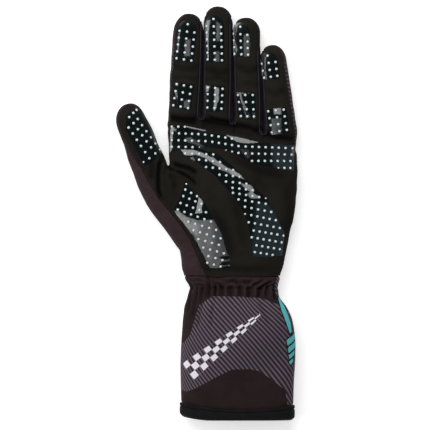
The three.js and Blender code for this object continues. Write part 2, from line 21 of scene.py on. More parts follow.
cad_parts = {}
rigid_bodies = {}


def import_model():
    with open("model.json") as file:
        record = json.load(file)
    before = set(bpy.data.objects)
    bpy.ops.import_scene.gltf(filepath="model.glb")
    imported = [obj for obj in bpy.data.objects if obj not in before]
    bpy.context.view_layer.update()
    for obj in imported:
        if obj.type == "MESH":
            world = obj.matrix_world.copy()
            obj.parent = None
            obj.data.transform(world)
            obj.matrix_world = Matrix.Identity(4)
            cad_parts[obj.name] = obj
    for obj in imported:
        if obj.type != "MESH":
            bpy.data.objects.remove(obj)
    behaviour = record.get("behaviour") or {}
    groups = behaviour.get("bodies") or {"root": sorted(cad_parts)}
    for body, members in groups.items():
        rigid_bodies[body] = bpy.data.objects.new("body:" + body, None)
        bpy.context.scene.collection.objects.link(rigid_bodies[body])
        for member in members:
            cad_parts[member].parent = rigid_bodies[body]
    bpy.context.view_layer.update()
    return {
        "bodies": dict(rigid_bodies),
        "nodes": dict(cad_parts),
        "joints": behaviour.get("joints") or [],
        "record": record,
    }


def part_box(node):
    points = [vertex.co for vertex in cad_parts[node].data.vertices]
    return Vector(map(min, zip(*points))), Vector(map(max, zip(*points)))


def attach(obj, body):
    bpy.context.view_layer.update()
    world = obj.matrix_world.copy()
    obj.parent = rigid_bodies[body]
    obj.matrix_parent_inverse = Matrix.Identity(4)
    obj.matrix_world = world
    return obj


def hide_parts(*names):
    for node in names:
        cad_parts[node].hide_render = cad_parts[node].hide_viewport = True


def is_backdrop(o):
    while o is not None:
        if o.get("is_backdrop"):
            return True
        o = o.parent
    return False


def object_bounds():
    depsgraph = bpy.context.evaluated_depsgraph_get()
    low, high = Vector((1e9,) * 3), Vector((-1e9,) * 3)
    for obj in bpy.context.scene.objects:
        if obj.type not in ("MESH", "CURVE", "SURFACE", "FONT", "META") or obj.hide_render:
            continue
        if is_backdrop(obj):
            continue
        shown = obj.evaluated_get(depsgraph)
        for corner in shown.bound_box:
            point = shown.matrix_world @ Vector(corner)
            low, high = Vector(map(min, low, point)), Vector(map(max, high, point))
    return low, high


log = logging.getLogger("glove")

Point = tuple[float, float]
Field = Callable[[np.ndarray], np.ndarray]

# Driving sizes in millimetres, as in the solids

PALM_WIDTH = 98.2
PALM_LENGTH = 120.0
PALM_DEPTH = 21.0
KNUCKLE_DROP = 26.0
WRIST_WIDTH = 71.5
WRIST_DEPTH = 19.0
CUFF_WIDTH = 85.6
CUFF_SHIFT = 4.4
CUFF_LENGTH = 95.6
CUFF_DEPTH = 26.0
ELASTIC_PINCH = 3.8
HEM_HEIGHT = 11.6
HEM_PROUD = 0.8
FINGER_DEPTH = 15.5
FINGER_GAP = 0.7
THUMB_WIDTH = 31.5
THUMB_DEPTH = 18.5
PANEL_WALL = 1.1
SEAM_HEIGHT = 9.0
SIDEWALL_FOOT = 4.5

PALM_HALF = PALM_WIDTH / 2
WRIST_HALF = WRIST_WIDTH / 2
CUFF_REACH_LEFT = CUFF_WIDTH / 2 - CUFF_SHIFT
CUFF_REACH_RIGHT = CUFF_WIDTH / 2 + CUFF_SHIFT

# How far a panel's edge turns in, how far its inside stays off the floor, how low a print reaches round a
# finger, where the elastic lies, and the share of a crease over which its ends fade

EDGE_TURN = 0.45
INSIDE_FLOOR = 0.4
PRINT_FLOOR = 9.4
ELASTIC_LEVEL = -9.2
CREASE_TAPER = 0.22

# Taken off the print's fields on the cuff's inside, so that nothing is printed there

UNPRINTED = 1e3

# The photograph's scale, and the pixel that the middle of the wrist seam falls on

PIXEL = 0.75
SEAM_PIXEL = (231.9, 275.8)

# How finely the cloth is meshed, in millimetres

VOXEL = 0.9

# How much narrower the fingers are built beside their neighbours, and how far in they are widened again

FINGER_SPREAD = 0.85
SPREAD_REACH = 9.0

# How far the fingers' forms run down into the hand, their noses' length as a share of their width, and what
# is left of a nose at each of its rings

FINGER_SINK = 19.2
NOSE_LENGTH = 0.74
NOSE_POWER = 2.3
NOSE_REST = (0.66, 0.54, 0.43, 0.32, 0.22, 0.14, 0.07, 0.025, 0.004)

# How full the forms' sections are in the corners, 2 being round

HAND_SQUARENESS = 2.7
FINGER_SQUARENESS = 2.25
CUFF_SQUARENESS = 2.6

HAND_ROWS = np.array(
    # up, left, right, rise, tilt
    [
        (-0.04, 0.0, 0.0, 0.0, 0.0),
        (0.0, 0.0, 0.0, 0.0, 0.0),
        (0.063, 0.15, 0.22, 0.2, 0.0),
        (0.163, 0.25, 0.41, 0.55, 0.0),
        (0.288, 0.4, 0.64, 0.85, 0.0),
        (0.381, 0.5, 0.82, 1.0, 0.0),
        (0.475, 0.62, 0.93, 1.05, 0.0),
        (0.6, 0.77, 0.98, 1.0, 0.0),
        (0.71, 0.87, 1.0, 0.8, 0.25),
        (0.79, 0.93, 1.0, 0.3, 0.55),
        (0.87, 0.97, 1.0, -0.4, 0.85),
        (0.93, 0.99, 1.0, -1.1, 1.0),
        (0.97, 1.0, 1.0, -2.0, 1.0),
        (0.993, 0.9, 0.9, -3.5, 1.0),
    ]
)

THUMB_ROWS = np.array(
    # side, rise, wide, deep
    [
        (-0.257, 0.15, 0.67, 0.95),
        (-0.312, 0.25, 0.86, 1.02),
        (-0.404, 0.378, 0.95, 1.05),
        (-0.495, 0.484, 1.0, 1.0),
        (-0.563, 0.578, 0.95, 0.95),
        (-0.606, 0.642, 0.89, 0.92),
        (-0.654, 0.728, 0.83, 0.89),
        (-0.698, 0.824, 0.78, 0.87),
        (-0.733, 0.898, 0.76, 0.85),
        (-0.77, 0.969, 0.74, 0.83),
        (-0.797, 1.075, 0.7, 0.8),
    ]
)

CUFF_ROWS = np.array(
    # down, pinch_left, pinch_right, flare_left, flare_right, rise
    [
        (0.0, 0.0, 0.0, 0.0, 0.0, 0.0),
        (0.047, 0.6, 0.25, 0.0, 0.0, -0.12),
        (0.094, 1.0, 0.25, 0.0, 0.0, -0.25),
        (0.165, 0.6, 0.05, 0.0, 0.0, -0.05),
        (0.243, 0.05, 0.0, 0.0, 0.45, 0.35),
        (0.322, 0.0, 0.0, 0.36, 0.77, 0.6),
        (0.4, 0.0, 0.0, 0.6, 0.93, 0.8),
        (0.51, 0.0, 0.0, 0.87, 1.03, 0.95),
        (0.66, 0.0, 0.0, 1.0, 1.0, 1.0),
        (0.816, 0.0, 0.0, 0.97, 0.92, 1.0),
        (1.0, 0.0, 0.0, 0.88, 0.89, 0.97),
    ]
)

# The lines between the fingers, as shares of half the palm width, at the fingers' roots and tips

LANE_LINES = ((-1.0, -0.875), (-0.451, -0.429), (0.022, 0.006), (0.47, 0.425), (1.0, 0.8))


@dataclass(frozen=True)
class FingerSize:
    """One finger's place and size.

    gap is the height of the gap beside the finger as a share of the palm length, length is in millimetres and
    depth is a share of the finger depth.
    """

    name: str
    gap: float
    length: float
    depth: float

    @property
    def foot(self) -> float:
        """The height of the finger's gap in millimetres."""
        return self.gap * PALM_LENGTH

    @property
    def tip(self) -> float:
        """The height of the fingertip in millimetres."""
        return self.foot + self.length


FINGERS = (
    FingerSize("index", 1.0, 76.7, 1.0),
    FingerSize("middle", 0.972, 85.5, 1.03),
    FingerSize("ring", 0.935, 81.5, 1.0),
    FingerSize("little", 0.906, 64.5, 0.94),
)


# Numbers and curves


def mix(low: float, high: float, share: float) -> float:
    """Returns the value a share of the way from low to high."""
    return low + (high - low) * share


def smooth(values: np.ndarray) -> np.ndarray:
    """Returns the values eased from 0 to 1."""
    held = np.clip(values, 0.0, 1.0)
    return held * held * (3 - 2 * held)


def eased(value: float) -> float:
    """Returns one value eased from 0 to 1."""
    return float(smooth(np.array(value)))


def bell(values: np.ndarray | float, middle: float, width: float) -> np.ndarray | float:
    """Returns a bell's height, 1 at its middle and almost 0 beyond twice its width."""
    return np.exp(-(((values - middle) / width) ** 2))


def spot(across: float, down: float) -> Point:
    """Turns a place in the photograph into millimetres from the wrist seam's middle.

    Args:
        across: pixels from the photograph's left edge.
        down: pixels from its top edge.

    Returns:
        The place's x and y in millimetres.
    """
    return (across - SEAM_PIXEL[0]) * PIXEL, (SEAM_PIXEL[1] - down) * PIXEL


def spots(places: Sequence[Point]) -> np.ndarray:
    """Turns several places in the photograph into rows of x and y in millimetres."""
    return np.array([spot(*place) for place in places])


def read_rows(rows: np.ndarray, at: float) -> np.ndarray:
    """Reads a table at any place along its first column, on a smooth curve through its rows.

    Args:
        rows: the table, its first column rising.
        at: the place along the first column.

    Returns:
        The row of all columns at that place.
    """
    keys = rows[:, 0]
    if at <= keys[0]:
        return rows[0]
    if at >= keys[-1]:
        return rows[-1]
    index = int(np.searchsorted(keys, at, side="right")) - 1
    span = keys[index + 1] - keys[index]
    share = (at - keys[index]) / span
    low, high = max(index - 1, 0), min(index + 2, len(rows) - 1)
    start = (rows[index + 1] - rows[low]) / (keys[index + 1] - keys[low]) * span
    end = (rows[high] - rows[index]) / (keys[high] - keys[index]) * span
    square, cube = share**2, share**3
    return (
        rows[index] * (2 * cube - 3 * square + 1)
        + start * (cube - 2 * square + share)
        + rows[index + 1] * (3 * square - 2 * cube)
        + end * (cube - square)
    )


def signed_distance(points: np.ndarray, outline: np.ndarray) -> np.ndarray:
    """Measures how far points lie inside a closed outline.

    Args:
        points: rows of x and y.
        outline: the outline's corners in order.

    Returns:
        The distance to the outline, above 0 inside it.
    """
    best = np.full(len(points), 1e18)
    inside = np.zeros(len(points), bool)
    for start, end in zip(outline, np.roll(outline, -1, axis=0)):
        edge = end - start
        away = points - start
        share = np.clip(away @ edge / (edge @ edge), 0, 1)
        best = np.minimum(best, ((away - share[:, None] * edge) ** 2).sum(1))
        crosses = (start[1] > points[:, 1]) != (end[1] > points[:, 1])
        rise = edge[1] if abs(edge[1]) > 1e-12 else 1e-12
        inside ^= crosses & (points[:, 0] < start[0] + edge[0] * (points[:, 1] - start[1]) / rise)
    return np.sqrt(best) * np.where(inside, 1, -1)


def line_distance(points: np.ndarray, line: np.ndarray) -> tuple[np.ndarray, np.ndarray]:
    """Measures how far points lie from an open line.

    Args:
        points: rows of x and y.
        line: the line's corners in order.

    Returns:
        The distance to the line, and how far along it the nearest place is, from 0 to 1.
    """
    best = np.full(len(points), 1e18)
    along = np.zeros(len(points))
    steps = np.diff(line, axis=0)
    lengths = np.hypot(*steps.T)
    done = 0.0
    for start, edge, length in zip(line, steps, lengths):
        away = points - start
        share = np.clip(away @ edge / (edge @ edge), 0, 1)
        found = ((away - share[:, None] * edge) ** 2).sum(1)
        nearer = found < best
        best[nearer] = found[nearer]
        along[nearer] = (done + share[nearer] * length) / lengths.sum()
        done += length
    return np.sqrt(best), along


def waves(points: np.ndarray, scale: float, seed: int) -> np.ndarray:
    """A smooth uneven field made of a few crossing waves.

    Args:
        points: rows of x, y and z in millimetres.
        scale: the shortest wave in millimetres.
        seed: which field it is.

    Returns:
        A value for each point, mostly between -1 and 1.
    """
    random = np.random.default_rng(seed)
    total = np.zeros(len(points))
    for _ in range(9):
        way = random.normal(size=3) * (1.0, 1.0, 0.6)
        length = scale * random.uniform(1.0, 2.6)
        total += np.sin(points @ (way / np.linalg.norm(way)) * 2 * math.pi / length + random.uniform(0, 6.3))
    return total / 4.5


# Meshes


@dataclass
class Surface:
    """Points in millimetres and the faces between them."""

    points: np.ndarray
    faces: list[tuple[int, ...]]

    def normals(self) -> np.ndarray:
        """Returns the outward direction at each point."""
        mesh = self.mesh("measured")
        out = np.zeros(len(self.points) * 3, np.float32)
        mesh.vertices.foreach_get("normal", out)
        bpy.data.meshes.remove(mesh)
        return out.reshape(-1, 3).astype(float)

    def mesh(self, name: str) -> bpy.types.Mesh:
        """Returns a Blender mesh of the surface, still in millimetres."""
        mesh = bpy.data.meshes.new(name)
        mesh.from_pydata(self.points.tolist(), [], self.faces)
        mesh.update()
        return mesh

    def work(self) -> bmesh.types.BMesh:
        """Opens the surface for bmesh's operators."""
        work = bmesh.new()
        mesh = self.mesh("opened")
        work.from_mesh(mesh)
        bpy.data.meshes.remove(mesh)
        return work

    @staticmethod
    def taken(work: bmesh.types.BMesh) -> "Surface":
        """Returns what a bmesh holds, and frees it."""
        work.verts.index_update()
        points = np.array([vert.co[:] for vert in work.verts])
        faces = [tuple(vert.index for vert in face.verts) for face in work.faces]
        work.free()
        return Surface(points, faces)

    def smoothed(self, rounds: int, share: float = 0.5) -> "Surface":
        """Returns the surface with each point drawn towards its neighbours."""
        work = self.work()
        axes = {f"use_axis_{axis}": True for axis in "xyz"}
        for _ in range(rounds):
            bmesh.ops.smooth_vert(work, verts=work.verts, factor=share, **axes)
        return Surface.taken(work)

    def part(self, chosen: np.ndarray) -> tuple["Surface", np.ndarray]:
        """Takes some of the faces.

        Args:
            chosen: one true or false for each face.

        Returns:
            The surface of those faces, and which of this surface's points it uses.
        """
        kept = [face for face, wanted in zip(self.faces, chosen) if wanted]
        used = np.unique(np.concatenate([np.array(face) for face in kept]))
        place = np.full(len(self.points), -1)
        place[used] = np.arange(len(used))
        return Surface(self.points[used], [tuple(int(place[i]) for i in face) for face in kept]), used

    def centres(self, values: np.ndarray) -> np.ndarray:
        """Returns each face's mean of a value given at the points."""
        return np.array([values[list(face)].mean() for face in self.faces])

    def thick(self, outer: np.ndarray, inner: np.ndarray, normals: np.ndarray) -> "Surface":
        """Makes a closed sheet round the surface.

        Args:
            outer: how far each point of the outside stands off the surface.
            inner: how far each point of the inside does.
            normals: the outward direction at each point.

        Returns:
            The closed sheet: the outside's points come first, then the inside's.
        """
        outside, inside = (self.points + normals * away[:, None] for away in (outer, inner))
        work = self.work()
        order = work.verts.layers.int.new("order")
        for place, vert in enumerate(work.verts):
            vert[order] = place + len(self.points)
        sheet = [*work.edges, *work.faces]
        made = bmesh.ops.extrude_face_region(work, geom=sheet, use_keep_orig=True)["geom"]
        for vert in (item for item in made if isinstance(item, bmesh.types.BMVert)):
            vert[order] -= len(self.points)
        work.verts.sort(key=lambda vert: vert[order])
        for vert, point in zip(work.verts, (*outside, *inside)):
            vert.co = point
        return Surface.taken(work)


def cut_surface(surface: Surface, field_of: Field) -> Surface:
    """Cuts faces along the line where a field changes sign.

    Args:
        surface: what is cut.
        field_of: gives the field's value at rows of points.

    Returns:
        The surface with an edge all along that line.
    """
    values = field_of(surface.points)
    values[np.abs(values) < 0.03] = 0.0
    work = surface.work()
    layer = work.verts.layers.float.new("cut")
    for vert, value in zip(work.verts, values):
        vert[layer] = value
    crossing = [edge for edge in work.edges if edge.verts[0][layer] * edge.verts[1][layer] < 0]
    for edge in crossing:
        start, end = edge.verts
        share = start[layer] / (start[layer] - end[layer])
        _, vert = bmesh.utils.edge_split(edge, start, share)
        vert[layer] = 0.0
    for face in list(work.faces):
        signs = [vert[layer] for vert in face.verts]
        if min(signs) < 0 < max(signs):
            on_line = [vert for vert in face.verts if vert[layer] == 0.0]
            if len(on_line) >= 2:
                size = len(face.verts)
                order = {vert: n for n, vert in enumerate(face.verts)}
                apart = (order[on_line[-1]] - order[on_line[0]]) % size
                if 1 < apart < size - 1:
                    bmesh.utils.face_split(face, on_line[0], on_line[-1])
    return Surface.taken(work)


def refined(surface: Surface) -> Surface:
    """Returns the surface with each face divided in four and its points evened out."""
    work = surface.work()
    bmesh.ops.subdivide_edges(work, edges=work.edges, cuts=1, use_grid_fill=True, smooth=0.6)
    return Surface.taken(work)


def joined(surfaces: Sequence[Surface]) -> Surface:
    """Returns several surfaces as one."""
    points, faces, done = [], [], 0
    for surface in surfaces:
        points.append(surface.points)
        faces += [tuple(i + done for i in face) for face in surface.faces]
        done += len(surface.points)
    return Surface(np.vstack(points), faces)


def lofted(rings: Sequence[np.ndarray], closed: bool = True) -> Surface:
    """Extrudes a circle from ring to ring.

    Args:
        rings: the rings from first to last, each with the same number of points.
        closed: True closes both ends round the rings' middles.

    Returns:
        The form, its points in the rings' order, and facing outwards.
    """
    points = np.vstack(rings)
    sides = len(rings[0])
    work = bmesh.new()
    order = work.verts.layers.int.new("order")
    for place, vert in enumerate(bmesh.ops.create_circle(work, segments=sides)["verts"]):
        vert[order] = place
    edges = list(work.edges)
    for _ in rings[1:]:
        made = bmesh.ops.extrude_edge_only(work, edges=edges)["geom"]
        for vert in (item for item in made if isinstance(item, bmesh.types.BMVert)):
            vert[order] += sides
        edges = [item for item in made if isinstance(item, bmesh.types.BMEdge) and item.is_boundary]
    work.verts.sort(key=lambda vert: vert[order])
    for vert, point in zip(work.verts, points):
        vert.co = point
    if closed:
        ends = [edge for edge in work.edges if edge.is_boundary]
        caps = bmesh.ops.holes_fill(work, edges=ends, sides=0)["faces"]
        bmesh.ops.poke(work, faces=caps)
    bmesh.ops.recalc_face_normals(work, faces=work.faces)
    return Surface.taken(work)


def soft_ring(
    sides: int, left: float, right: float, top: float, floor: float, squareness: float
) -> np.ndarray:
    """One ring of a soft tube that lies on a flat surface: round on top, flattened below.

    Args:
        sides: how many points the ring has.
        left: its left edge.
        right: its right edge.
        top: its highest place.
        floor: its lowest place.
        squareness: 2 is round, and more is fuller in the corners.

    Returns:
        Rows of place across, height, and the share of the rise from the widest place.
    """
    middle, half = (left + right) / 2, (right - left) / 2
    widest = mix(floor, top, 0.44)
    press = 0.12 * (top - floor)
    angle = 2 * math.pi * np.arange(sides) / sides
    power = 2 / squareness
    out = np.sign(np.cos(angle)) * np.abs(np.cos(angle)) ** power
    lift = np.abs(np.sin(angle)) ** power
    above = widest + (top - widest) * lift
    below = np.maximum(widest - (widest - floor + press) * lift, floor)
    return np.stack([middle + half * out, np.where(angle < math.pi, above, below), lift], 1)


def union(surface: Surface, voxel: float) -> Surface:
    """Returns one even skin round overlapping closed forms.

    Args:
        surface: the closed forms.
        voxel: the size of the new faces.
    """
    body = bpy.data.objects.new("union", surface.mesh("union"))
    bpy.context.scene.collection.objects.link(body)
    remesh = body.modifiers.new("union", "REMESH")
    remesh.mode = "VOXEL"
    remesh.voxel_size = voxel
    done = bpy.data.meshes.new_from_object(body.evaluated_get(bpy.context.evaluated_depsgraph_get()))
    old = body.data
    bpy.data.objects.remove(body)
    bpy.data.meshes.remove(old)
    work = bmesh.new()
    work.from_mesh(done)
    bpy.data.meshes.remove(done)
    return Surface.taken(work)


# Materials


class Graph:
    """A small helper that builds a material's nodes."""

    def __init__(self, name: str) -> None:
        """Starts a material with one Principled shader."""
        self.material = bpy.data.materials.new(name)
        self.material.use_nodes = True
        self.tree = self.material.node_tree
        self.shader = next(node for node in self.tree.nodes if node.type == "BSDF_PRINCIPLED")

    def add(self, kind: str, inputs: dict | None = None, **settings: object) -> bpy.types.Node:
        """Adds a node.

        Args:
            kind: the node's type.
            inputs: its sockets by name, each with a value or a socket to link.
            settings: the node's own settings.

        Returns:
            The node.
        """
        node = self.tree.nodes.new(kind)
        for key, value in settings.items():
            setattr(node, key, value)
        for key, value in (inputs or {}).items():
            self.feed(node.inputs[key], value)
        return node

    def feed(self, socket: bpy.types.NodeSocket, value: object) -> None:
        """Links a socket to another, or sets its value."""
        if isinstance(value, bpy.types.NodeSocket):
            self.tree.links.new(value, socket)
        elif socket.type == "RGBA" and len(value) == 3:
            socket.default_value = (*value, 1.0)
        else:
            socket.default_value = value

    def math(self, operation: str, *values: object) -> bpy.types.NodeSocket:
        """Returns the result of a Math node."""
        node = self.add("ShaderNodeMath", operation=operation)
        for socket, value in zip(node.inputs, values):
            self.feed(socket, value)
        return node.outputs[0]

    def noise(self, scale: float, detail: float = 3.0, rough: float = 0.6) -> bpy.types.NodeSocket:
        """Returns a noise value, scale being in waves for each metre."""
        inputs = {"Scale": scale, "Detail": detail, "Roughness": rough, "Vector": self.place()}
        return self.add("ShaderNodeTexNoise", inputs).outputs["Fac"]

    def place(self) -> bpy.types.NodeSocket:
        """Returns the object coordinates."""
        return self.add("ShaderNodeTexCoord").outputs["Object"]

    def axes(self, vector: object = None) -> tuple[bpy.types.NodeSocket, ...]:
        """Returns the x, y and z of a vector."""
        node = self.add("ShaderNodeSeparateXYZ", {"Vector": self.place() if vector is None else vector})
        return tuple(node.outputs)

    def attribute(self, name: str) -> bpy.types.Node:
        """Returns a node that reads a mesh attribute."""
        return self.add("ShaderNodeAttribute", attribute_name=name)

    def ramp(self, value: object, stops: Sequence[tuple[float, tuple[float, ...]]]) -> bpy.types.NodeSocket:
        """Returns a colour ramp's colour."""
        node = self.add("ShaderNodeValToRGB", {"Fac": value})
        elements = node.color_ramp.elements
        while len(elements) < len(stops):
            elements.new(0.5)
        for element, (place, colour) in zip(elements, stops):
            element.position = place
            element.color = (*colour, 1.0)
        return node.outputs["Color"]

    def blend(self, share: object, first: object, second: object) -> bpy.types.NodeSocket:
        """Returns a mix of two colours."""
        node = self.add("ShaderNodeMix", data_type="RGBA")
        self.feed(node.inputs[0], share)
        for socket, colour in ((node.inputs[6], first), (node.inputs[7], second)):
            self.feed(socket, (*colour, 1.0) if isinstance(colour, tuple) else colour)
        return node.outputs[2]

    def bump(
        self, height: object, distance: float, strength: float, under: object = None
    ) -> bpy.types.NodeSocket:
        """Returns a bumped normal, distance being in metres."""
        inputs = {"Height": height, "Distance": distance, "Strength": strength}
        if under is not None:
            inputs["Normal"] = under
        return self.add("ShaderNodeBump", inputs).outputs["Normal"]

    def weave(self, rib: float) -> tuple[bpy.types.NodeSocket, ...]:
        """Adds the small squares of a knit.

        Args:
            rib: the width of one rib in metres.

        Returns:
            The place across with the height turned in, the place along, and the knit's wave.
        """
        across, along, height = self.axes()
        turned = self.math("ADD", across, self.math("MULTIPLY", height, 0.9))
        wale = self.math("SINE", self.math("MULTIPLY", turned, 2 * math.pi / rib))
        course = self.math("SINE", self.math("MULTIPLY", along, 2 * math.pi / rib))
        return turned, along, self.math("MULTIPLY", wale, course)

    def mottled(
        self, colour: tuple[float, ...], spread: float, weave: object, share: float, scale: float
    ) -> bpy.types.NodeSocket:
        """Returns an uneven cloth colour.

        Args:
            colour: the mean colour.
            spread: how far it varies to both sides, as a share.
            weave: the knit's wave.
            share: how much the wave counts.
            scale: the patches, in waves for each metre.

        Returns:
            The colour's socket.
        """
        fleck = self.math("ADD", self.math("MULTIPLY", weave, share), self.noise(scale))
        low = tuple((1 - spread) * value for value in colour)
        high = tuple((1 + spread) * value for value in colour)
        return self.ramp(fleck, [(0.25, low), (0.75, high)])

    def with_painted_shading(self, colour: object) -> bpy.types.NodeSocket:
        """Returns a colour with painted shade where the shading attribute is above 0 and painted highlight
        below.
        """
        hollow = self.attribute("hollow").outputs["Fac"]
        share = self.math("SUBTRACT", 1.0, self.math("MULTIPLY", hollow, 0.9))
        scaled = self.add("ShaderNodeVectorMath", operation="SCALE")
        self.feed(scaled.inputs[0], colour)
        self.feed(scaled.inputs["Scale"], share)
        return scaled.outputs[0]

    def surface(self, **values: object) -> bpy.types.Material:
        """Sets the shader's sockets, named with underscores for spaces, and returns the material."""
        for key, value in values.items():
            self.feed(self.shader.inputs[key.replace("_", " ")], value)
        return self.material


# Forms


def knuckle_fall(across: np.ndarray) -> np.ndarray:
    """How far the knuckle line has dropped at places across the palm."""
    return KNUCKLE_DROP * ((across / PALM_HALF + 0.45) / 1.45) ** 2


def hand_form() -> Surface:
    """The hand between the wrist and the gaps between the fingers."""
    rings = []
    for up in [*np.linspace(-0.04, 0.93, 44), 0.95, 0.97, 0.985, 0.993]:
        _, left, right, rise, tilt = read_rows(HAND_ROWS, up)
        edges = -mix(WRIST_HALF, PALM_HALF, left), mix(WRIST_HALF, PALM_HALF, right)
        top = mix(WRIST_DEPTH, PALM_DEPTH, rise)
        across, height, _ = soft_ring(80, *edges, top, 0.0, HAND_SQUARENESS).T
        rings.append(np.stack([across, up * PALM_LENGTH - tilt * knuckle_fall(across), height], 1))
    return lofted(rings)


def lane(index: int, share: float) -> float:
    """Returns the line to the left of a finger, at a share of the way from its root to its tip."""
    return mix(*LANE_LINES[index], share) * PALM_HALF


def finger_edges(index: int, share: float) -> tuple[float, float]:
    """Returns a finger's left and right edge at a share of its length."""
    sunk = 2.0 * max(-share * FINGERS[index].length, 0) / FINGER_SINK
    outside = max(share, 0.0)
    left = lane(index, outside) + (FINGER_GAP / 2 if index > 0 else 0.0) + sunk
    right = lane(index + 1, outside) - (FINGER_GAP / 2 if index < 3 else 0.0) - sunk
    return left, right


def nose_ring(sides: int, middle: float, half: float, depth: float, rest: float) -> np.ndarray:
    """One ring of a finger or the thumb, smaller on its nose.

    Args:
        sides: how many points the ring has.
        middle: the place of its middle across.
        half: half its width where it is full.
        depth: its depth there.
        rest: what is left of the nose, 1 or more below it.

    Returns:
        Rows of place across and height.
    """
    fullness = (1 - (1 - min(rest, 1)) ** NOSE_POWER) ** (1 / NOSE_POWER)
    thick = depth * mix(0.3, 1, fullness)
    reach = half * fullness
    top, floor = (depth + thick) / 2, (depth - thick) / 2
    return soft_ring(sides, middle - reach, middle + reach, top, floor, FINGER_SQUARENESS)[:, :2]


def finger_form(index: int) -> Surface:
    """One finger, drawn narrower beside its neighbours so that the skins stay apart."""
    size = FINGERS[index]
    nose = NOSE_LENGTH * (finger_edges(index, 1.0)[1] - finger_edges(index, 1.0)[0])
    left_over = np.array([1.0, 0.85, 0.7, 0.56, *NOSE_REST[2:]])
    below = np.linspace(size.foot - FINGER_SINK, size.tip - nose, 30)[:-1]
    rings = []
    for level in (*below, *(size.tip - nose * left_over)):
        share = (level - size.foot) / size.length
        left, right = finger_edges(index, share)
        left += FINGER_SPREAD if index > 0 else 0.0
        right -= FINGER_SPREAD if index < 3 else 0.0
        depth = size.depth * FINGER_DEPTH * mix(1.08, 0.93, max(share, 0.0))
        rest = (size.tip - level) / nose
        across, height = nose_ring(48, (left + right) / 2, (right - left) / 2, depth, rest).T
        rings.append(np.stack([across, np.full_like(across, level), height], 1))
    return lofted(rings)


def thumb_station(share: float) -> tuple[np.ndarray, np.ndarray, float, float]:
    """Returns a place on the thumb's middle line: its point, its direction, half its width and its depth."""
    rows = np.column_stack([np.linspace(0, 1, len(THUMB_ROWS)), THUMB_ROWS])
    scale = np.array([PALM_WIDTH, PALM_LENGTH])
    _, side, rise, wide, deep = read_rows(rows, share)
    ahead = read_rows(rows, min(share + 0.01, 1.0))[1:3] - read_rows(rows, min(share, 0.99))[1:3]
    along = ahead * scale
    point = np.array([side, rise]) * scale
    return point, along / np.linalg.norm(along), THUMB_WIDTH / 2 * wide, THUMB_DEPTH * deep


def thumb_form() -> Surface:
    """The thumb, from deep in the palm to its tip."""
    nose_start = 0.87
    left_over = np.array([0.9, 0.78, *NOSE_REST])
    rings = []
    for share in [*np.linspace(0, nose_start, 44), *(1 - (1 - nose_start) * left_over)]:
        point, along, half, depth = thumb_station(share)
        ring = nose_ring(56, 0.0, half, depth, (1 - share) / (1 - nose_start))
        plan = point + ring[:, :1] * np.array([along[1], -along[0]])
        rings.append(np.column_stack([plan, ring[:, 1]]))
    return lofted(rings)


@dataclass(frozen=True)
class Crease:
    """A crease pressed into the cloth along a line in the photograph."""

    line: tuple[Point, ...]
    deep: float
    broad: float
    bulge: float = 0.35

    def near(self, points: np.ndarray) -> tuple[np.ndarray, np.ndarray]:
        """Returns how far points lie from the crease's line, and how deep it is there, less at its ends."""
        away, along = line_distance(points[:, :2], spots(self.line))
        return away, smooth(np.minimum(along, 1 - along) / CREASE_TAPER) * self.deep

    def pressed(self, points: np.ndarray) -> np.ndarray:
        """Returns how far the crease presses points in, below 0 on its shoulders."""
        away, deep = self.near(points)
        shoulder = bell(away, 2.2 * self.broad, self.broad)
        return deep * (bell(away, 0.0, self.broad) - self.bulge * shoulder)


CREASES = (
    Crease(((165, 116.5), (172, 118.5), (184, 120.5), (200, 121.5)), 2.0, 2.4),
    Crease(((196, 119.5), (212, 121.5), (222, 123), (240, 126), (254, 128.5)), 1.7, 2.0),
    Crease(((242, 124.5), (258, 131), (276, 137.5), (299, 140)), 1.5, 2.0),
    Crease(((207, 115), (214, 119.5), (226, 122), (240, 122.5)), 1.2, 1.1),
    Crease(((190, 124), (215, 127), (236, 131), (262, 138)), 0.5, 2.6),
    Crease(((163.4, 156), (159.6, 165), (158.4, 175), (158.8, 190), (162, 203)), 1.9, 1.3),
    Crease(((152, 157), (153, 168), (151, 182)), 0.8, 2.0),
    Crease(((167.8, 159), (168.4, 166), (171, 169.8), (176, 171)), 1.4, 0.9),
    Crease(((171, 161), (176, 165), (182, 166.8), (189, 168.4), (199, 174.6)), 2.0, 1.3),
    Crease(((173, 170), (181.3, 173.4), (187.4, 176.6), (193, 181), (197, 187)), 1.7, 1.0),
    Crease(((170, 172), (174.6, 180), (176.4, 191)), 0.6, 1.6),
    Crease(((181, 148.6), (200, 154.5), (222, 166.5), (240, 180), (252, 198)), 0.6, 2.6),
    Crease(((225, 150), (240, 161), (262, 172), (290, 176)), 0.7, 3.0),
    Crease(((209, 206), (222, 224), (230, 246), (232, 264)), 0.7, 3.4),
    Crease(((232, 186), (238, 204), (240, 226), (244, 250)), 0.5, 3.0),
    Crease(((286, 180), (289, 205), (288, 232), (285, 256)), 0.6, 3.2),
    Crease(((168, 66), (185, 70), (201, 68)), 0.7, 2.4),
    Crease(((203, 68), (217, 74), (231, 72)), 0.7, 2.4),
    Crease(((234, 66), (248, 72), (261, 70)), 0.7, 2.4),
    Crease(((263, 90), (275, 94), (288, 90)), 0.7, 2.4),
    Crease(((168, 80), (184, 77), (200, 82)), 0.4, 1.6),
    Crease(((204, 80), (218, 78.6), (231, 82)), 0.4, 1.6),
    Crease(((234, 88), (248, 84), (262, 88)), 0.4, 1.6),
    Crease(((186, 270), (215, 268), (250, 270), (284, 268)), 0.6, 2.6),
)


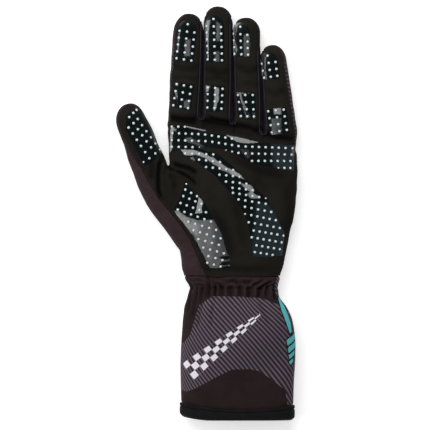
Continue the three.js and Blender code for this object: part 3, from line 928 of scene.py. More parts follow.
def crease_shade(points: np.ndarray) -> np.ndarray:
    """Returns the creases' painted shade, from 0 to 1, by how deep points lie in them."""
    total = np.zeros(len(points))
    for crease in CREASES:
        away, deep = crease.near(points)
        total += deep * bell(away, 0.0, 1.1 * crease.broad)
    return np.clip(total / 1.4, 0, 1) * smooth((points[:, 2] - 4) / 4)


@dataclass(frozen=True)
class Strip:
    """A sidewall strip between two fingers: a long rounded patch in plan, from root to tip in pixels."""

    name: str
    root: Point
    tip: Point
    half_root: float = 3.1
    half_tip: float = 2.1

    def web(self) -> list[Point]:
        """Returns three places down the gap's closed end, in pixels."""
        return [(self.root[0], self.root[1] + down) for down in (-7, -2, 3)]

    def inside(self, points: np.ndarray) -> np.ndarray:
        """Returns how far points lie inside the strip."""
        away, along = line_distance(points[:, :2], spots([self.root, self.tip]))
        return mix(self.half_root, self.half_tip, smooth(along * 2.2)) - away

    def edge(self, inset: float) -> np.ndarray:
        """Returns the strip's rim from the left tip round the root to the right tip, as rows of x and y."""
        root, tip = spots([self.root, self.tip])
        along = (tip - root) / np.linalg.norm(tip - root)
        side = np.array([-along[1], along[0]])
        rows = []
        for share in np.linspace(0.97, 0.0, 90):
            half = mix(self.half_root, self.half_tip, eased(share * 2.2)) - inset
            rows.append((root + (tip - root) * share, half))
        left = [centre + side * half for centre, half in rows]
        right = [centre - side * half for centre, half in reversed(rows)]
        turn = [
            root + (self.half_root - inset) * (side * math.cos(angle) - along * math.sin(angle))
            for angle in np.linspace(0, math.pi, 14)[1:-1]
        ]
        return np.array([*left, *turn, *right])


STRIPS = (
    Strip("sidewall_index_middle", (201.3, 116.0), (203.8, 17.0)),
    Strip("sidewall_middle_ring", (233.0, 120.6), (232.3, 21.0)),
    Strip("sidewall_ring_little", (263.3, 131.4), (259.7, 48.3)),
)

# The seam between the suede and the back fabric, from the thumb's outer side down to the wrist, in pixels

SEAM_LINE = (
    (112, 112),
    (115.5, 124),
    (122, 138),
    (131, 154),
    (141, 169),
    (150, 186),
    (159, 199.5),
    (166, 208),
    (178, 222.5),
    (189, 238.5),
    (196, 254),
    (200.5, 265),
    (205, 274),
    (208, 284),
)
PALM_SPACE = (*SEAM_LINE, (208, 330), (400, 330), (400, -80), (60, -80), (60, 100))


class Skin:
    """The whole hand's outer surface, creased, and cut along all its seams."""

    def __init__(self) -> None:
        """Builds the surface and its cuts."""
        webs = [cord(np.column_stack([spots(strip.web()), [6.5] * 3]), 2.0) for strip in STRIPS]
        forms = [hand_form(), thumb_form(), *(finger_form(index) for index in range(4)), *webs]
        body = self.notched(union(joined(forms), VOXEL).smoothed(4))
        body = self.creased(body).smoothed(1, 0.4)
        body = self.spread(body)
        self.whole = body
        cut = cut_surface(body, above_wrist)
        cut, _ = cut.part(cut.centres(above_wrist(cut.points)) > 0)
        cut = cut_surface(cut, palm_inside)
        cut = cut_surface(cut, strips_inside)
        self.cut = cut
        self.normals = cut.normals()
        self.tree = BVHTree.FromPolygons(body.points.tolist(), body.faces)
        log.info("skin: %d points, %d faces", len(cut.points), len(cut.faces))

    @staticmethod
    def notched(body: Surface) -> Surface:
        """Draws the web between the thumb and the palm down to a sharp end."""
        points = body.points.copy()
        edge = spot(167.0, 159.7)
        near = bell(points[:, 0], edge[0], 1.5) * smooth((points[:, 1] - edge[1] + 11) / 11)
        points[:, 0] += 0.9 * near
        points[:, 1] -= 4.2 * near
        return Surface(points, body.faces)

    @staticmethod
    def spread(body: Surface) -> Surface:
        """Widens the fingers back towards their neighbours."""
        points = body.points.copy()
        x, y = body.points[:, 0], body.points[:, 1]
        apart = FINGER_GAP / 2 + FINGER_SPREAD
        for index in (1, 2, 3):
            foot = (FINGERS[index - 1].foot + FINGERS[index].foot) / 2
            length = FINGERS[index].length
            line = mix(*LANE_LINES[index], np.clip((y - foot) / length, 0, 1)) * PALM_HALF
            away = np.abs(x - line)
            drawn = away - (apart + 0.3) * (1 - (away - apart) / SPREAD_REACH)
            closed = np.where(away < apart, -away * 0.3 / apart, drawn)
            reach = smooth((y - foot + 12.5) / 6) * (away < apart + SPREAD_REACH)
            points[:, 0] += np.sign(x - line) * reach * (closed - away)
        return Surface(points, body.faces)

    @staticmethod
    def creased(body: Surface) -> Surface:
        """Presses the creases and a soft unevenness into the surface."""
        normals = body.normals()
        upper = smooth((body.points[:, 2] - 5.5) / 4)
        shift = 0.22 * waves(body.points, 13.0, 3) + 0.1 * waves(body.points, 5.0, 4)
        for crease in CREASES:
            shift -= upper * crease.pressed(body.points)
        shift *= smooth((body.points[:, 2] - 0.3) / 1.5)
        return Surface(body.points + normals * shift[:, None], body.faces)

    def land(self, x: float, y: float) -> tuple[np.ndarray, np.ndarray] | None:
        """Drops a plumb line onto the palm side.

        Args:
            x: the line's place across, in millimetres.
            y: its place along.

        Returns:
            The point it meets and the outward direction there, or None beside the hand.
        """
        place, normal, _, _ = self.tree.ray_cast(Vector((x, y, 90)), Vector((0, 0, -1)))
        if place is None or place.z < 4:
            return None
        return np.array(place), np.array(normal)

    def piece(self, chosen: np.ndarray, rim_of: Field) -> Surface:
        """Makes a closed panel from some of the faces.

        Args:
            chosen: one true or false for each face.
            rim_of: the distance of points from the panel's edge.

        Returns:
            The closed panel, turned in a little along its edge, its inside clear of the floor.
        """
        panel, used = self.cut.part(chosen)
        rim = np.abs(rim_of(panel.points))
        outer = -EDGE_TURN * (1 - smooth(rim / 1.1))
        sheet = panel.thick(outer, np.minimum(outer - 0.5, -PANEL_WALL), self.normals[used])
        floors = np.repeat([0.0, INSIDE_FLOOR], len(panel.points))
        sheet.points[:, 2] = np.maximum(sheet.points[:, 2], floors)
        return sheet


def seam_sway(across: np.ndarray, height: np.ndarray) -> np.ndarray:
    """Returns how much higher the wrist seam runs on the palm side, as the elastic pulls it askew."""
    dips = 1.5 * bell(across, -11, 6) + 0.8 * bell(across, 20, 13)
    return (0.4 - dips) * smooth((height - 9) / 4)


def above_wrist(points: np.ndarray) -> np.ndarray:
    """Returns how far points lie above the wrist seam."""
    return points[:, 1] - seam_sway(points[:, 0], points[:, 2])


def palm_inside(points: np.ndarray) -> np.ndarray:
    """Returns how far points lie inside the palm panel's space, whose edge rises along the outer fingers."""
    x, y, z = points.T
    outer = smooth((y - 92) / 18) * smooth((202 - y) / 16) * smooth((np.abs(x - 2) - 30) / 6)
    higher = SEAM_HEIGHT + outer * np.where(x > 0, 2.6, 2.2)
    return np.minimum(signed_distance(points[:, :2], spots(PALM_SPACE)), z - higher)


def strips_inside(points: np.ndarray) -> np.ndarray:
    """Returns how far points lie inside the nearest sidewall strip."""
    best = np.max([strip.inside(points) for strip in STRIPS], axis=0)
    return np.minimum(best, points[:, 2] - SIDEWALL_FOOT)


def seam_distance(points: np.ndarray) -> np.ndarray:
    """Returns how far points lie from the nearest seam of the palm or of a strip."""
    return np.minimum(np.abs(palm_inside(points)), np.abs(strips_inside(points)))


# Small parts


def cord(path: np.ndarray, radius: float, sides: int = 8) -> Surface:
    """Makes a closed round cord along a path.

    Args:
        path: rows of x, y and z.
        radius: the cord's radius.
        sides: how many sides it has.

    Returns:
        The cord.
    """
    steps = np.gradient(path, axis=0)
    steps /= np.linalg.norm(steps, axis=1)[:, None]
    side = np.cross(steps, [0, 0, 1.0])
    side /= np.maximum(np.linalg.norm(side, axis=1), 1e-6)[:, None]
    up = np.cross(side, steps)
    angle = 2 * math.pi * np.arange(sides) / sides
    rings = [
        point + radius * (np.outer(np.cos(angle), one) + np.outer(np.sin(angle), two))
        for point, one, two in zip(path, side, up)
    ]
    return lofted(rings)


def dome(place: np.ndarray, normal: np.ndarray, radius: float, height: float) -> Surface:
    """Makes a small round bead that sits on a surface.

    Args:
        place: the middle of its foot.
        normal: the surface's outward direction.
        radius: the bead's radius.
        height: how far it stands up.

    Returns:
        The bead.
    """
    turn = Vector(normal).to_track_quat("Z", "Y").to_matrix().to_4x4()
    frame = Matrix.Translation(place) @ turn @ Matrix.Diagonal((radius, radius, height, 1))
    work = bmesh.new()
    bmesh.ops.create_uvsphere(work, u_segments=10, v_segments=6, radius=1, matrix=frame)
    return Surface.taken(work)


def stitch(middle: np.ndarray, along: np.ndarray, length: float, radius: float) -> Surface:
    """Makes one stitch: a short thread that dives into the cloth at both ends."""
    shares = np.linspace(-1, 1, 7)
    path = middle + np.outer(shares * length / 2, along)
    path[:, 2] += radius * 1.2 * (1 - shares**4) - 0.6 * radius
    return cord(path, radius, 6)


# Finishes


class Slot(Enum):
    """The record's material slots."""

    SUEDE = "suede"
    STRETCH = "stretch_fabric"
    SIDEWALL = "sidewall_fabric"
    CUFF = "cuff_fabric"
    HEM = "hem_fabric"
    SILICONE = "silicone"


@dataclass(frozen=True)
class Suede:
    """Brushed synthetic suede: almost black, with a short nap."""

    dark: tuple[float, float, float] = (0.0080, 0.0068, 0.0054)
    light: tuple[float, float, float] = (0.0166, 0.0142, 0.0113)

    def material(self) -> bpy.types.Material:
        """Builds the material."""
        graph = Graph("suede")
        broad = graph.noise(38.0)
        nap = graph.noise(1500.0, 2.0)
        share = graph.math("ADD", graph.math("MULTIPLY", broad, 0.65), graph.math("MULTIPLY", nap, 0.35))
        cloth = graph.ramp(share, [(0.32, self.dark), (0.68, self.light)])
        # Painted shade in the creases and painted light towards the fingers come from the shading attribute
        colour = graph.with_painted_shading(cloth)
        normal = graph.bump(nap, 0.00012, 0.5)
        return graph.surface(
            Base_Color=colour,
            Roughness=0.92,
            Specular_IOR_Level=0.07,
            Sheen_Weight=0.012,
            Sheen_Roughness=0.5,
            Normal=normal,
        )


@dataclass(frozen=True)
class Knit:
    """A fine stretch knit with narrow ribs."""

    name: str
    colour: tuple[float, float, float]
    rib: float
    specular: float = 0.1

    def material(self) -> bpy.types.Material:
        """Builds the material."""
        graph = Graph(self.name)
        _, _, weave = graph.weave(self.rib)
        return graph.surface(
            Base_Color=graph.mottled(self.colour, 0.3, weave, 0.18, 160.0),
            Roughness=0.85,
            Specular_IOR_Level=self.specular,
            Sheen_Weight=0.01,
            Normal=graph.bump(weave, 0.00012, 0.6),
        )


@dataclass(frozen=True)
class BackKnit:
    """The back's stretch knit, with rows of light dashes printed where the dash attribute is above 0.

    rib is the knit's and pitch the dashes' spacing, in metres.
    """

    colour: tuple[float, float, float] = (0.034, 0.0196, 0.0232)
    dash: tuple[float, float, float] = (0.085, 0.078, 0.09)
    rib: float = 0.0009
    pitch: float = 0.0023

    def material(self) -> bpy.types.Material:
        """Builds the material."""
        graph = Graph("back_knit")
        turned, along, weave = graph.weave(self.rib)
        slanted = graph.math("ADD", graph.math("MULTIPLY", turned, 0.55), graph.math("MULTIPLY", along, 0.84))
        line = graph.math("SINE", graph.math("MULTIPLY", slanted, 2 * math.pi / self.pitch))
        printed = graph.attribute("dash").outputs["Fac"]
        mask = graph.math("MULTIPLY", graph.math("GREATER_THAN", line, 0.25), printed)
        cloth = graph.mottled(self.colour, 0.28, weave, 0.15, 120.0)
        colour = graph.blend(mask, cloth, self.dash)
        return graph.surface(
            Base_Color=colour,
            Roughness=0.85,
            Specular_IOR_Level=0.1,
            Sheen_Weight=0.01,
            Normal=graph.bump(weave, 0.00012, 0.6),
        )


@dataclass(frozen=True)
class CuffCloth:
    """The cuff's knit with its print: fine slanted lines, a chequered flash and turquoise bars.

    pitch is the lines' spacing in pixels of the photograph, and rib the knit's in metres.
    """

    ground: tuple[float, float, float] = (0.0188, 0.0100, 0.0112)
    shade: tuple[float, float, float] = (0.0262, 0.0168, 0.0232)
    line: tuple[float, float, float] = (0.122, 0.097, 0.122)
    white: tuple[float, float, float] = (0.76, 0.72, 0.78)
    bright: tuple[float, float, float] = (0.102, 0.456, 0.485)
    pitch: float = 3.7
    rib: float = 0.0009

    def material(self) -> bpy.types.Material:
        """Builds the material."""
        graph = Graph("cuff_cloth")
        _, _, weave = graph.weave(self.rib)
        cloth = graph.mottled(self.ground, 0.25, weave, 0.15, 90.0)
        radius = graph.attribute("arc").outputs["Fac"]
        wave = graph.math("SINE", graph.math("MULTIPLY", radius, 2 * math.pi / self.pitch))
        lines = self.step(graph, wave, -0.1, 0.5)
        striped = graph.blend(lines, self.shade, self.line)
        covered = self.step(graph, graph.attribute("print").outputs["Fac"], -0.1, 0.1)
        printed = graph.blend(covered, cloth, striped)
        u, v, inside = graph.axes(graph.attribute("flash").outputs["Vector"])
        cells = graph.math("MULTIPLY", self.wave(graph, u), self.wave(graph, v))
        cells = self.step(graph, cells, -0.08, 0.08)
        flash = graph.math("MULTIPLY", cells, self.step(graph, inside, -0.1, 0.1))
        flagged = graph.blend(flash, printed, self.white)
        bars = graph.attribute("accent").outputs["Fac"]
        flagged = graph.blend(self.step(graph, bars, -1.1, -0.9), flagged, self.ground)
        accent = self.step(graph, bars, -0.1, 0.1)
        # Painted shade in the gathers' valleys, painted highlight on their ridges and on the roll under the
        # seam
        colour = graph.with_painted_shading(graph.blend(accent, flagged, self.bright))
        raised = graph.math("ADD", graph.math("MULTIPLY", graph.math("MAXIMUM", flash, accent), 1.5), weave)
        return graph.surface(
            Base_Color=colour,
            Roughness=0.8,
            Specular_IOR_Level=0.1,
            Sheen_Weight=0.01,
            Normal=graph.bump(raised, 0.0001, 0.5),
        )

    @staticmethod
    def step(graph: Graph, value: object, low: float, high: float) -> bpy.types.NodeSocket:
        """Returns a soft step from 0 at low to 1 at high."""
        inputs = {"Value": value, "From Min": low, "From Max": high}
        return graph.add("ShaderNodeMapRange", inputs, interpolation_type="SMOOTHSTEP").outputs["Result"]

    @staticmethod
    def wave(graph: Graph, value: object) -> bpy.types.NodeSocket:
        """Returns a wave that changes sign at each whole number."""
        return graph.math("SINE", graph.math("MULTIPLY", value, math.pi))


@dataclass(frozen=True)
class Film:
    """The glossy black silicone film, with shallow ripples that catch the light and painted grey reflections.
    """

    colour: tuple[float, float, float] = (0.0010, 0.0034, 0.0038)
    # The grey of the painted reflection
    haze: tuple[float, float, float] = (0.0145, 0.022, 0.0265)

    def material(self) -> bpy.types.Material:
        """Builds the material."""
        graph = Graph("film")
        facing = graph.add("ShaderNodeNewGeometry").outputs["Normal"]
        lean = graph.attribute("film_tilt").outputs["Vector"]
        leaned = graph.add("ShaderNodeVectorMath", operation="ADD")
        graph.feed(leaned.inputs[0], facing)
        graph.feed(leaned.inputs[1], lean)
        unit = graph.add("ShaderNodeVectorMath", operation="NORMALIZE")
        graph.feed(unit.inputs[0], leaned.outputs[0])
        ripple = graph.noise(75.0, 1.0, 0.4)
        grain = graph.noise(2400.0, 1.0, 0.5)
        rippled = graph.bump(ripple, 0.0004, 0.25, unit.outputs[0])
        # Painted reflection: the colour turns grey where the sheen attribute is high
        colour = graph.blend(graph.attribute("haze").outputs["Fac"], self.colour, self.haze)
        return graph.surface(
            Base_Color=colour,
            Roughness=0.2,
            Specular_IOR_Level=0.7,
            Normal=graph.bump(grain, 0.00002, 0.3, rippled),
        )


@dataclass(frozen=True)
class Bead:
    """The raised pale dots on the film."""

    colour: tuple[float, float, float] = (0.66, 0.735, 0.735)

    def material(self) -> bpy.types.Material:
        """Builds the material."""
        graph = Graph("bead")
        return graph.surface(Base_Color=self.colour, Roughness=0.35, Specular_IOR_Level=0.4)


@dataclass(frozen=True)
class Plain:
    """One even colour, for thread and edge binding."""

    name: str
    colour: tuple[float, float, float]
    roughness: float = 0.8

    def material(self) -> bpy.types.Material:
        """Builds the material."""
        graph = Graph(self.name)
        return graph.surface(Base_Color=self.colour, Roughness=self.roughness, Specular_IOR_Level=0.3)


class Finishes:
    """All materials, made once."""

    def __init__(self) -> None:
        """Builds them."""
        self.suede = Suede().material()
        self.back = BackKnit().material()
        self.sidewall = Knit("sidewall_knit", (0.0110, 0.0090, 0.0128), 0.0008).material()
        self.cuff = CuffCloth().material()
        self.hem = Knit("hem_knit", (0.0066, 0.0064, 0.0074), 0.0011).material()
        self.film = Film().material()
        self.bead = Bead().material()
        self.thread = Plain("thread", (0.012, 0.0095, 0.0085), 0.7).material()
        self.binding = Plain("binding", (0.0128, 0.0102, 0.0158), 0.75).material()


# Pieces


@dataclass
class Piece:
    """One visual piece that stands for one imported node."""

    node: str
    slot: Slot
    parts: list[tuple[Surface, bpy.types.Material]]
    floats: dict[str, np.ndarray] = field(default_factory=dict)
    vectors: dict[str, np.ndarray] = field(default_factory=dict)
    sharp: float = 55.0

    def build(self, shift: Vector) -> bpy.types.Object:
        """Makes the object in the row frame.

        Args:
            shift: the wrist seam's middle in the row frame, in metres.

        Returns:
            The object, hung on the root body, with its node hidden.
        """
        whole = joined([surface for surface, _ in self.parts])
        points = whole.points / 1000 + np.array(shift)
        mesh = Surface(points, whole.faces).mesh(f"{self.node}_look")
        materials = list(dict.fromkeys(material for _, material in self.parts))
        for material in materials:
            mesh.materials.append(material)
        indices = np.concatenate([np.full(len(s.faces), materials.index(m)) for s, m in self.parts])
        mesh.polygons.foreach_set("material_index", indices.astype(np.int32))
        mesh.shade_smooth()
        mesh.set_sharp_from_angle(angle=math.radians(self.sharp))
        for name, values in self.floats.items():
            layer = mesh.attributes.new(name, "FLOAT", "POINT")
            layer.data.foreach_set("value", self.padded(values, len(points)).astype(np.float32).ravel())
        for name, values in self.vectors.items():
            layer = mesh.attributes.new(name, "FLOAT_VECTOR", "POINT")
            layer.data.foreach_set("vector", self.padded(values, len(points)).astype(np.float32).ravel())
        mesh.update()
        piece = bpy.data.objects.new(mesh.name, mesh)
        bpy.context.scene.collection.objects.link(piece)
        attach(piece, "root")
        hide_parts(self.node)
        triangles = sum(len(face) - 2 for face in whole.faces)
        log.info("%s: %d triangles", piece.name, triangles)
        return piece

    @staticmethod
    def padded(values: np.ndarray, count: int) -> np.ndarray:
        """Returns the values with zeros added for the points of later parts."""
        more = np.zeros((count - len(values), *values.shape[1:]))
        return np.concatenate([values, more])


@dataclass
class Hand:
    """The palm panel, the back panel and the sidewall strips."""

    skin: Skin
    finishes: Finishes

    def build(self, shift: Vector) -> None:
        """Makes the panels."""
        cut = self.skin.cut
        palm = cut.centres(palm_inside(cut.points)) > 0
        strips = [np.minimum(strip.inside(cut.points), cut.points[:, 2] - SIDEWALL_FOOT) for strip in STRIPS]
        walls = [cut.centres(values) > 0 for values in strips]
        any_wall = np.any(walls, axis=0)
        front = self.skin.piece(palm & ~any_wall, seam_distance)
        # Painted shade in the creases, and painted light that makes the suede lighter towards the fingers
        hollow = crease_shade(front.points) - 0.15 * smooth((front.points[:, 1] - 112) / 30)
        panel = [(front, self.finishes.suede), *self.seam_thread()]
        Piece("palm_panel", Slot.SUEDE, panel, floats={"hollow": hollow}).build(shift)
        back = self.skin.piece(~palm & ~any_wall, seam_distance)
        dash = self.dashes(back.points)
        Piece("back_panel", Slot.STRETCH, [(back, self.finishes.back)], floats={"dash": dash}).build(shift)
        for strip, chosen in zip(STRIPS, walls):
            body = self.skin.piece(chosen, strip.inside)
            cords = [self.binding(strip)]
            Piece(strip.name, Slot.SIDEWALL, [(body, self.finishes.sidewall), *cords]).build(shift)

    @staticmethod
    def dashes(points: np.ndarray) -> np.ndarray:
        """Returns where the back's dashes are printed, from 0 to 1: on the outer sides of the fingers."""
        x, y, z = points.T
        right = smooth((x - 20) / 4) * smooth((y + 5) / 3) * smooth((164 - y) / 8)
        left = smooth((y - 118) / 8) * smooth((178 - y) / 8) * smooth((-x - 34) / 3) * smooth((x + 54) / 3)
        return np.clip(right + left, 0, 1) * smooth(z / 2)

    def binding(self, strip: Strip) -> tuple[Surface, bpy.types.Material]:
        """Makes the raised edge that runs round a strip."""
        path = [self.skin.land(x, y) for x, y in strip.edge(0.15)]
        places = np.array([place + 0.05 * normal for place, normal in filter(None, path)])
        for _ in range(3):
            places[1:-1] = (places[:-2] + 2 * places[1:-1] + places[2:]) / 4
        return cord(places, 0.5), self.finishes.binding

    def seam_thread(self) -> list[tuple[Surface, bpy.types.Material]]:
        """Makes the stitches that run beside the seam on the thumb's side."""
        line = spots(SEAM_LINE[2:-1])
        lengths = np.hypot(*np.diff(line, axis=0).T)
        marks = np.concatenate([[0], np.cumsum(lengths)])
        made = []
        for mark in np.arange(2.0, marks[-1] - 1, 2.6):
            here = np.array([np.interp(mark, marks, line[:, axis]) for axis in (0, 1)])
            ahead = np.array([np.interp(mark + 0.8, marks, line[:, axis]) for axis in (0, 1)])
            way = (ahead - here) / np.linalg.norm(ahead - here)
            inset = here + 1.5 * np.array([-way[1], way[0]])
            found = self.skin.land(*inset), self.skin.land(*(inset + way))
            if all(found):
                along = found[1][0] - found[0][0]
                made.append(stitch(found[0][0], along / np.linalg.norm(along), 1.7, 0.17))
        return [(joined(made), self.finishes.thread)]


@dataclass(frozen=True)
class DotRow:
    """A row of dots between two places in the photograph."""

    start: Point
    end: Point
    count: int

    def places(self) -> list[Point]:
        """Returns the dots' places in pixels."""
        shares = np.linspace(0, 1, self.count) if self.count > 1 else [0.0]
        return [tuple(mix(a, b, share) for a, b in zip(self.start, self.end)) for share in shares]


@dataclass(frozen=True)
class DotField:
    """Rows of three dots between a first and a last row, with or without one more on top."""

    first: tuple[Point, Point]
    last: tuple[Point, Point]
    rows: int
    top: Point | None = None

    def places(self) -> list[Point]:
        """Returns the dots' places in pixels."""
        found = [self.top] if self.top else []
        for share in np.linspace(0, 1, self.rows):
            left, right = ([mix(a, b, share) for a, b in zip(*ends)] for ends in zip(self.first, self.last))
            found += DotRow(tuple(left), tuple(right), 3).places()
        return found


@dataclass(frozen=True)
class Print:
    """One silicone print: its node, its outline and its dots, in pixels of the photograph."""

    node: str
    outline: tuple[Point, ...]
    dots: tuple[DotRow | DotField, ...]


def arched(left: Point, right: Point, low_right: Point, low_left: Point, top: Point) -> tuple[Point, ...]:
    """Returns a fingertip print's outline: square below and round on top."""
    middle = np.array([mix(left[0], right[0], 0.5), mix(left[1], right[1], 0.5)])
    side = (np.array(right) - np.array(left)) / 2
    rise = np.array(top) - middle
    crown = [tuple(middle - side * math.cos(a) + rise * math.sin(a)) for a in np.linspace(0, math.pi, 15)]
    return (*crown, low_right, low_left)


PRINTS = (
    Print(
        "grip_index_tip",
        arched((177.3, 32), (196.5, 34), (193, 62.8), (174.8, 60.3), (187.6, 21)),
        (DotField(((179.8, 31.3), (194.3, 33.1)), ((176.8, 58.8), (191.3, 61.1)), 5, (187.8, 24.8)),),
    ),
    Print(
        "grip_index_base",
        ((175.2, 82.2), (193.6, 85.6), (190.3, 111.4), (172, 106.8)),
        (DotField(((177, 84.5), (190.9, 87.3)), ((173.6, 105.6), (188, 108.5)), 4),),
    ),
    Print(
        "grip_middle_tip",
        arched((205.2, 27), (223.8, 28), (223.8, 63), (206, 62), (214, 15.6)),
        (DotField(((206.9, 26.5), (220.8, 27.6)), ((207.9, 59.8), (221.9, 60.8)), 6, (213.6, 19.6)),),
    ),
    Print(
        "grip_middle_base",
        ((205.6, 85), (224.2, 86.2), (223.4, 111), (214, 112.2), (205.6, 110.6)),
        (DotField(((208.1, 87.8), (222.4, 89.3)), ((207.6, 107.9), (221.4, 109.1)), 4),),
    ),
    Print(
        "grip_ring_tip",
        arched((232.4, 34), (250, 35.4), (249.9, 57.4), (233.4, 56.4), (240.8, 23)),
        (DotField(((233.8, 34), (247.1, 35.5)), ((234.9, 54.3), (247.9, 55.3)), 4, (240.4, 27.3)),),
    ),
    Print(
        "grip_ring_base",
        ((236.6, 92.4), (254.6, 92.8), (255.6, 119.6), (248, 120.4), (239.4, 118)),
        (DotField(((238.1, 95.4), (252.4, 95.4)), ((240.9, 116.5), (253.6, 116.9)), 4),),
    ),
    Print(
        "grip_little_tip",
        arched((260.2, 64.5), (277.6, 61.6), (279.4, 78.4), (263.2, 80.4), (267, 52.6)),
        (DotField(((262, 64.1), (275.3, 62.4)), ((264.3, 78.1), (277.1, 76.3)), 3, (267.5, 56.1)),),
    ),
    Print(
        "grip_little_base",
        ((265.6, 109.6), (285.8, 107.6), (288.8, 132.4), (270, 135.2)),
        (DotField(((268.3, 111.5), (283.3, 110)), ((271.9, 132.6), (286.5, 130.3)), 4),),
    ),
    Print(
        "grip_thumb",
        (
            (126.4, 116.8),
            (130.6, 110.6),
            (135.4, 107.8),
            (140.6, 110.2),
            (152, 129),
            (163.4, 151),
            (156.6, 158.4),
            (144.6, 165.6),
            (126.2, 130.2),
        ),
        (
            DotRow((128.9, 127.8), (149.4, 158.5), 6),
            DotRow((129.4, 117.5), (155.3, 153.8), 7),
            DotRow((133.4, 113.3), (159.4, 150), 7),
            DotRow((136.5, 110.4), (136.5, 110.4), 1),
            DotRow((143.8, 162.3), (143.8, 162.3), 1),
        ),
    ),
    Print(
        "grip_palm",
        (
            (170.6, 125.4),
            (183.9, 125.8),
            (201.5, 129.7),
            (219.1, 133.4),
            (229.5, 135.8),
            (241, 137.6),
            (252, 140.4),
            (263, 143.0),
            (273.4, 143.8),
            (294.2, 145.8),
            (293.4, 171.4),
            (276.3, 168.4),
            (264.6, 166),
            (249.9, 162.7),
            (236.7, 154.6),
            (222, 148.8),
            (208, 147.2),
            (196, 146.5),
            (217.6, 154.6),
            (230.8, 164.9),
            (244, 178.1),
            (258.7, 192.2),
            (267, 199),
            (276.3, 215.6),
            (284.2, 233.7),
            (281.6, 255.6),
            (266, 257.4),
            (252.4, 256.4),
            (249.2, 229.3),
            (244.6, 214.8),
            (236, 198.4),
            (214, 175),
            (199, 163.4),
            (182, 155),
            (180.4, 149.9),
            (170, 152.6),
        ),
        (
            DotRow((172.1, 126.9), (184.8, 127.2), 3),
            DotRow((172.8, 133.4), (198.5, 134.5), 5),
            DotRow((205.2, 135), (231.9, 139), 5),
            DotRow((172.1, 140.3), (205.5, 141.6), 6),
            DotRow((212.3, 142.3), (238.4, 146.5), 5),
            DotRow((245.5, 147), (291.9, 148.4), 8),
            DotRow((172.1, 147.1), (199.5, 147.5), 5),
            DotRow((225.8, 150.5), (238.4, 153.3), 3),
            DotRow((245.5, 153.9), (290.9, 154.8), 8),
            DotRow((251.9, 161.2), (290, 161.5), 7),
            DotRow((278.1, 168.1), (289.8, 168.3), 3),
            DotRow((185.4, 153.8), (213.3, 154.8), 5),
            DotRow((199.1, 160.1), (220, 162.3), 4),
            DotRow((206.1, 167.3), (233.1, 170.3), 5),
            DotRow((219.5, 175), (239.5, 177), 4),
            DotRow((226, 181.8), (246.3, 184), 4),
            DotRow((232.5, 188), (252.5, 190.5), 4),
            DotRow((232.9, 193), (265.4, 198.4), 6),
            DotRow((238.5, 199.6), (265.4, 203.9), 5),
            DotRow((244.8, 206.9), (270.9, 212.1), 5),
            DotRow((245, 214), (275.4, 220.3), 6),
            DotRow((248.5, 222.3), (279.4, 228), 6),
            DotRow((253.5, 230.6), (282.8, 235.6), 6),
            DotRow((251.6, 237.3), (281.1, 242.3), 6),
            DotRow((256.3, 245.3), (279.3, 249.1), 5),
            DotRow((254.6, 252), (272.3, 254.8), 4),
        ),
    ),
    Print(
        "grip_thumb_heel",
        (
            (185.8, 181.6),
            (189.6, 187.4),
            (196.3, 193.6),
            (203.3, 200.4),
            (208.4, 209.5),
            (213.2, 219.3),
            (220.9, 232.6),
            (226, 250.2),
            (228.6, 256.6),
            (229.6, 260),
            (227.8, 262.6),
            (230.4, 265.6),
            (228.6, 267.4),
            (220.2, 267.9),
            (210.4, 267.7),
            (205.4, 263.5),
            (202, 253.7),
            (195, 239.8),
            (184.6, 224.6),
            (173.2, 210.4),
            (179.8, 198),
        ),
        (
            DotRow((186.5, 184.1), (186.5, 184.1), 1),
            DotRow((185.5, 189.8), (197.1, 196.3), 3),
            DotRow((183.5, 196.3), (201.5, 204.1), 4),
            DotRow((180.5, 203.3), (206, 212.4), 5),
            DotRow((177.9, 209.8), (211.1, 221.6), 6),
            DotRow((188.4, 221.9), (216.1, 229.9), 5),
            DotRow((193.5, 230.4), (220.5, 238.4), 5),
            DotRow((198.5, 239.1), (218.9, 244.8), 4),
            DotRow((203.4, 247.6), (223.8, 253.3), 4),
            DotRow((208.5, 256.1), (222.4, 260), 3),
            DotRow((207.3, 262.6), (220.6, 266.3), 3),
        ),
    ),
)


class Lean(Enum):
    """Which way a patch of film leans, as its outward direction: towards the tall lamp or the high one."""

    LEFT = (-0.405, 0.02, 0.91)
    LEFT_EDGE = (-0.365, 0.02, 0.93)
    LEFT_DIM = (-0.342, 0.02, 0.94)
    HIGH = (-0.06, 0.34, 0.94)
    FLAT = (0.0, 0.0, 1.0)


@dataclass(frozen=True)
class Ripple:
    """A patch where the film leans, so that it mirrors a lamp."""

    outline: tuple[Point, ...]
    lean: Lean = Lean.LEFT
    feather: float = 0.45


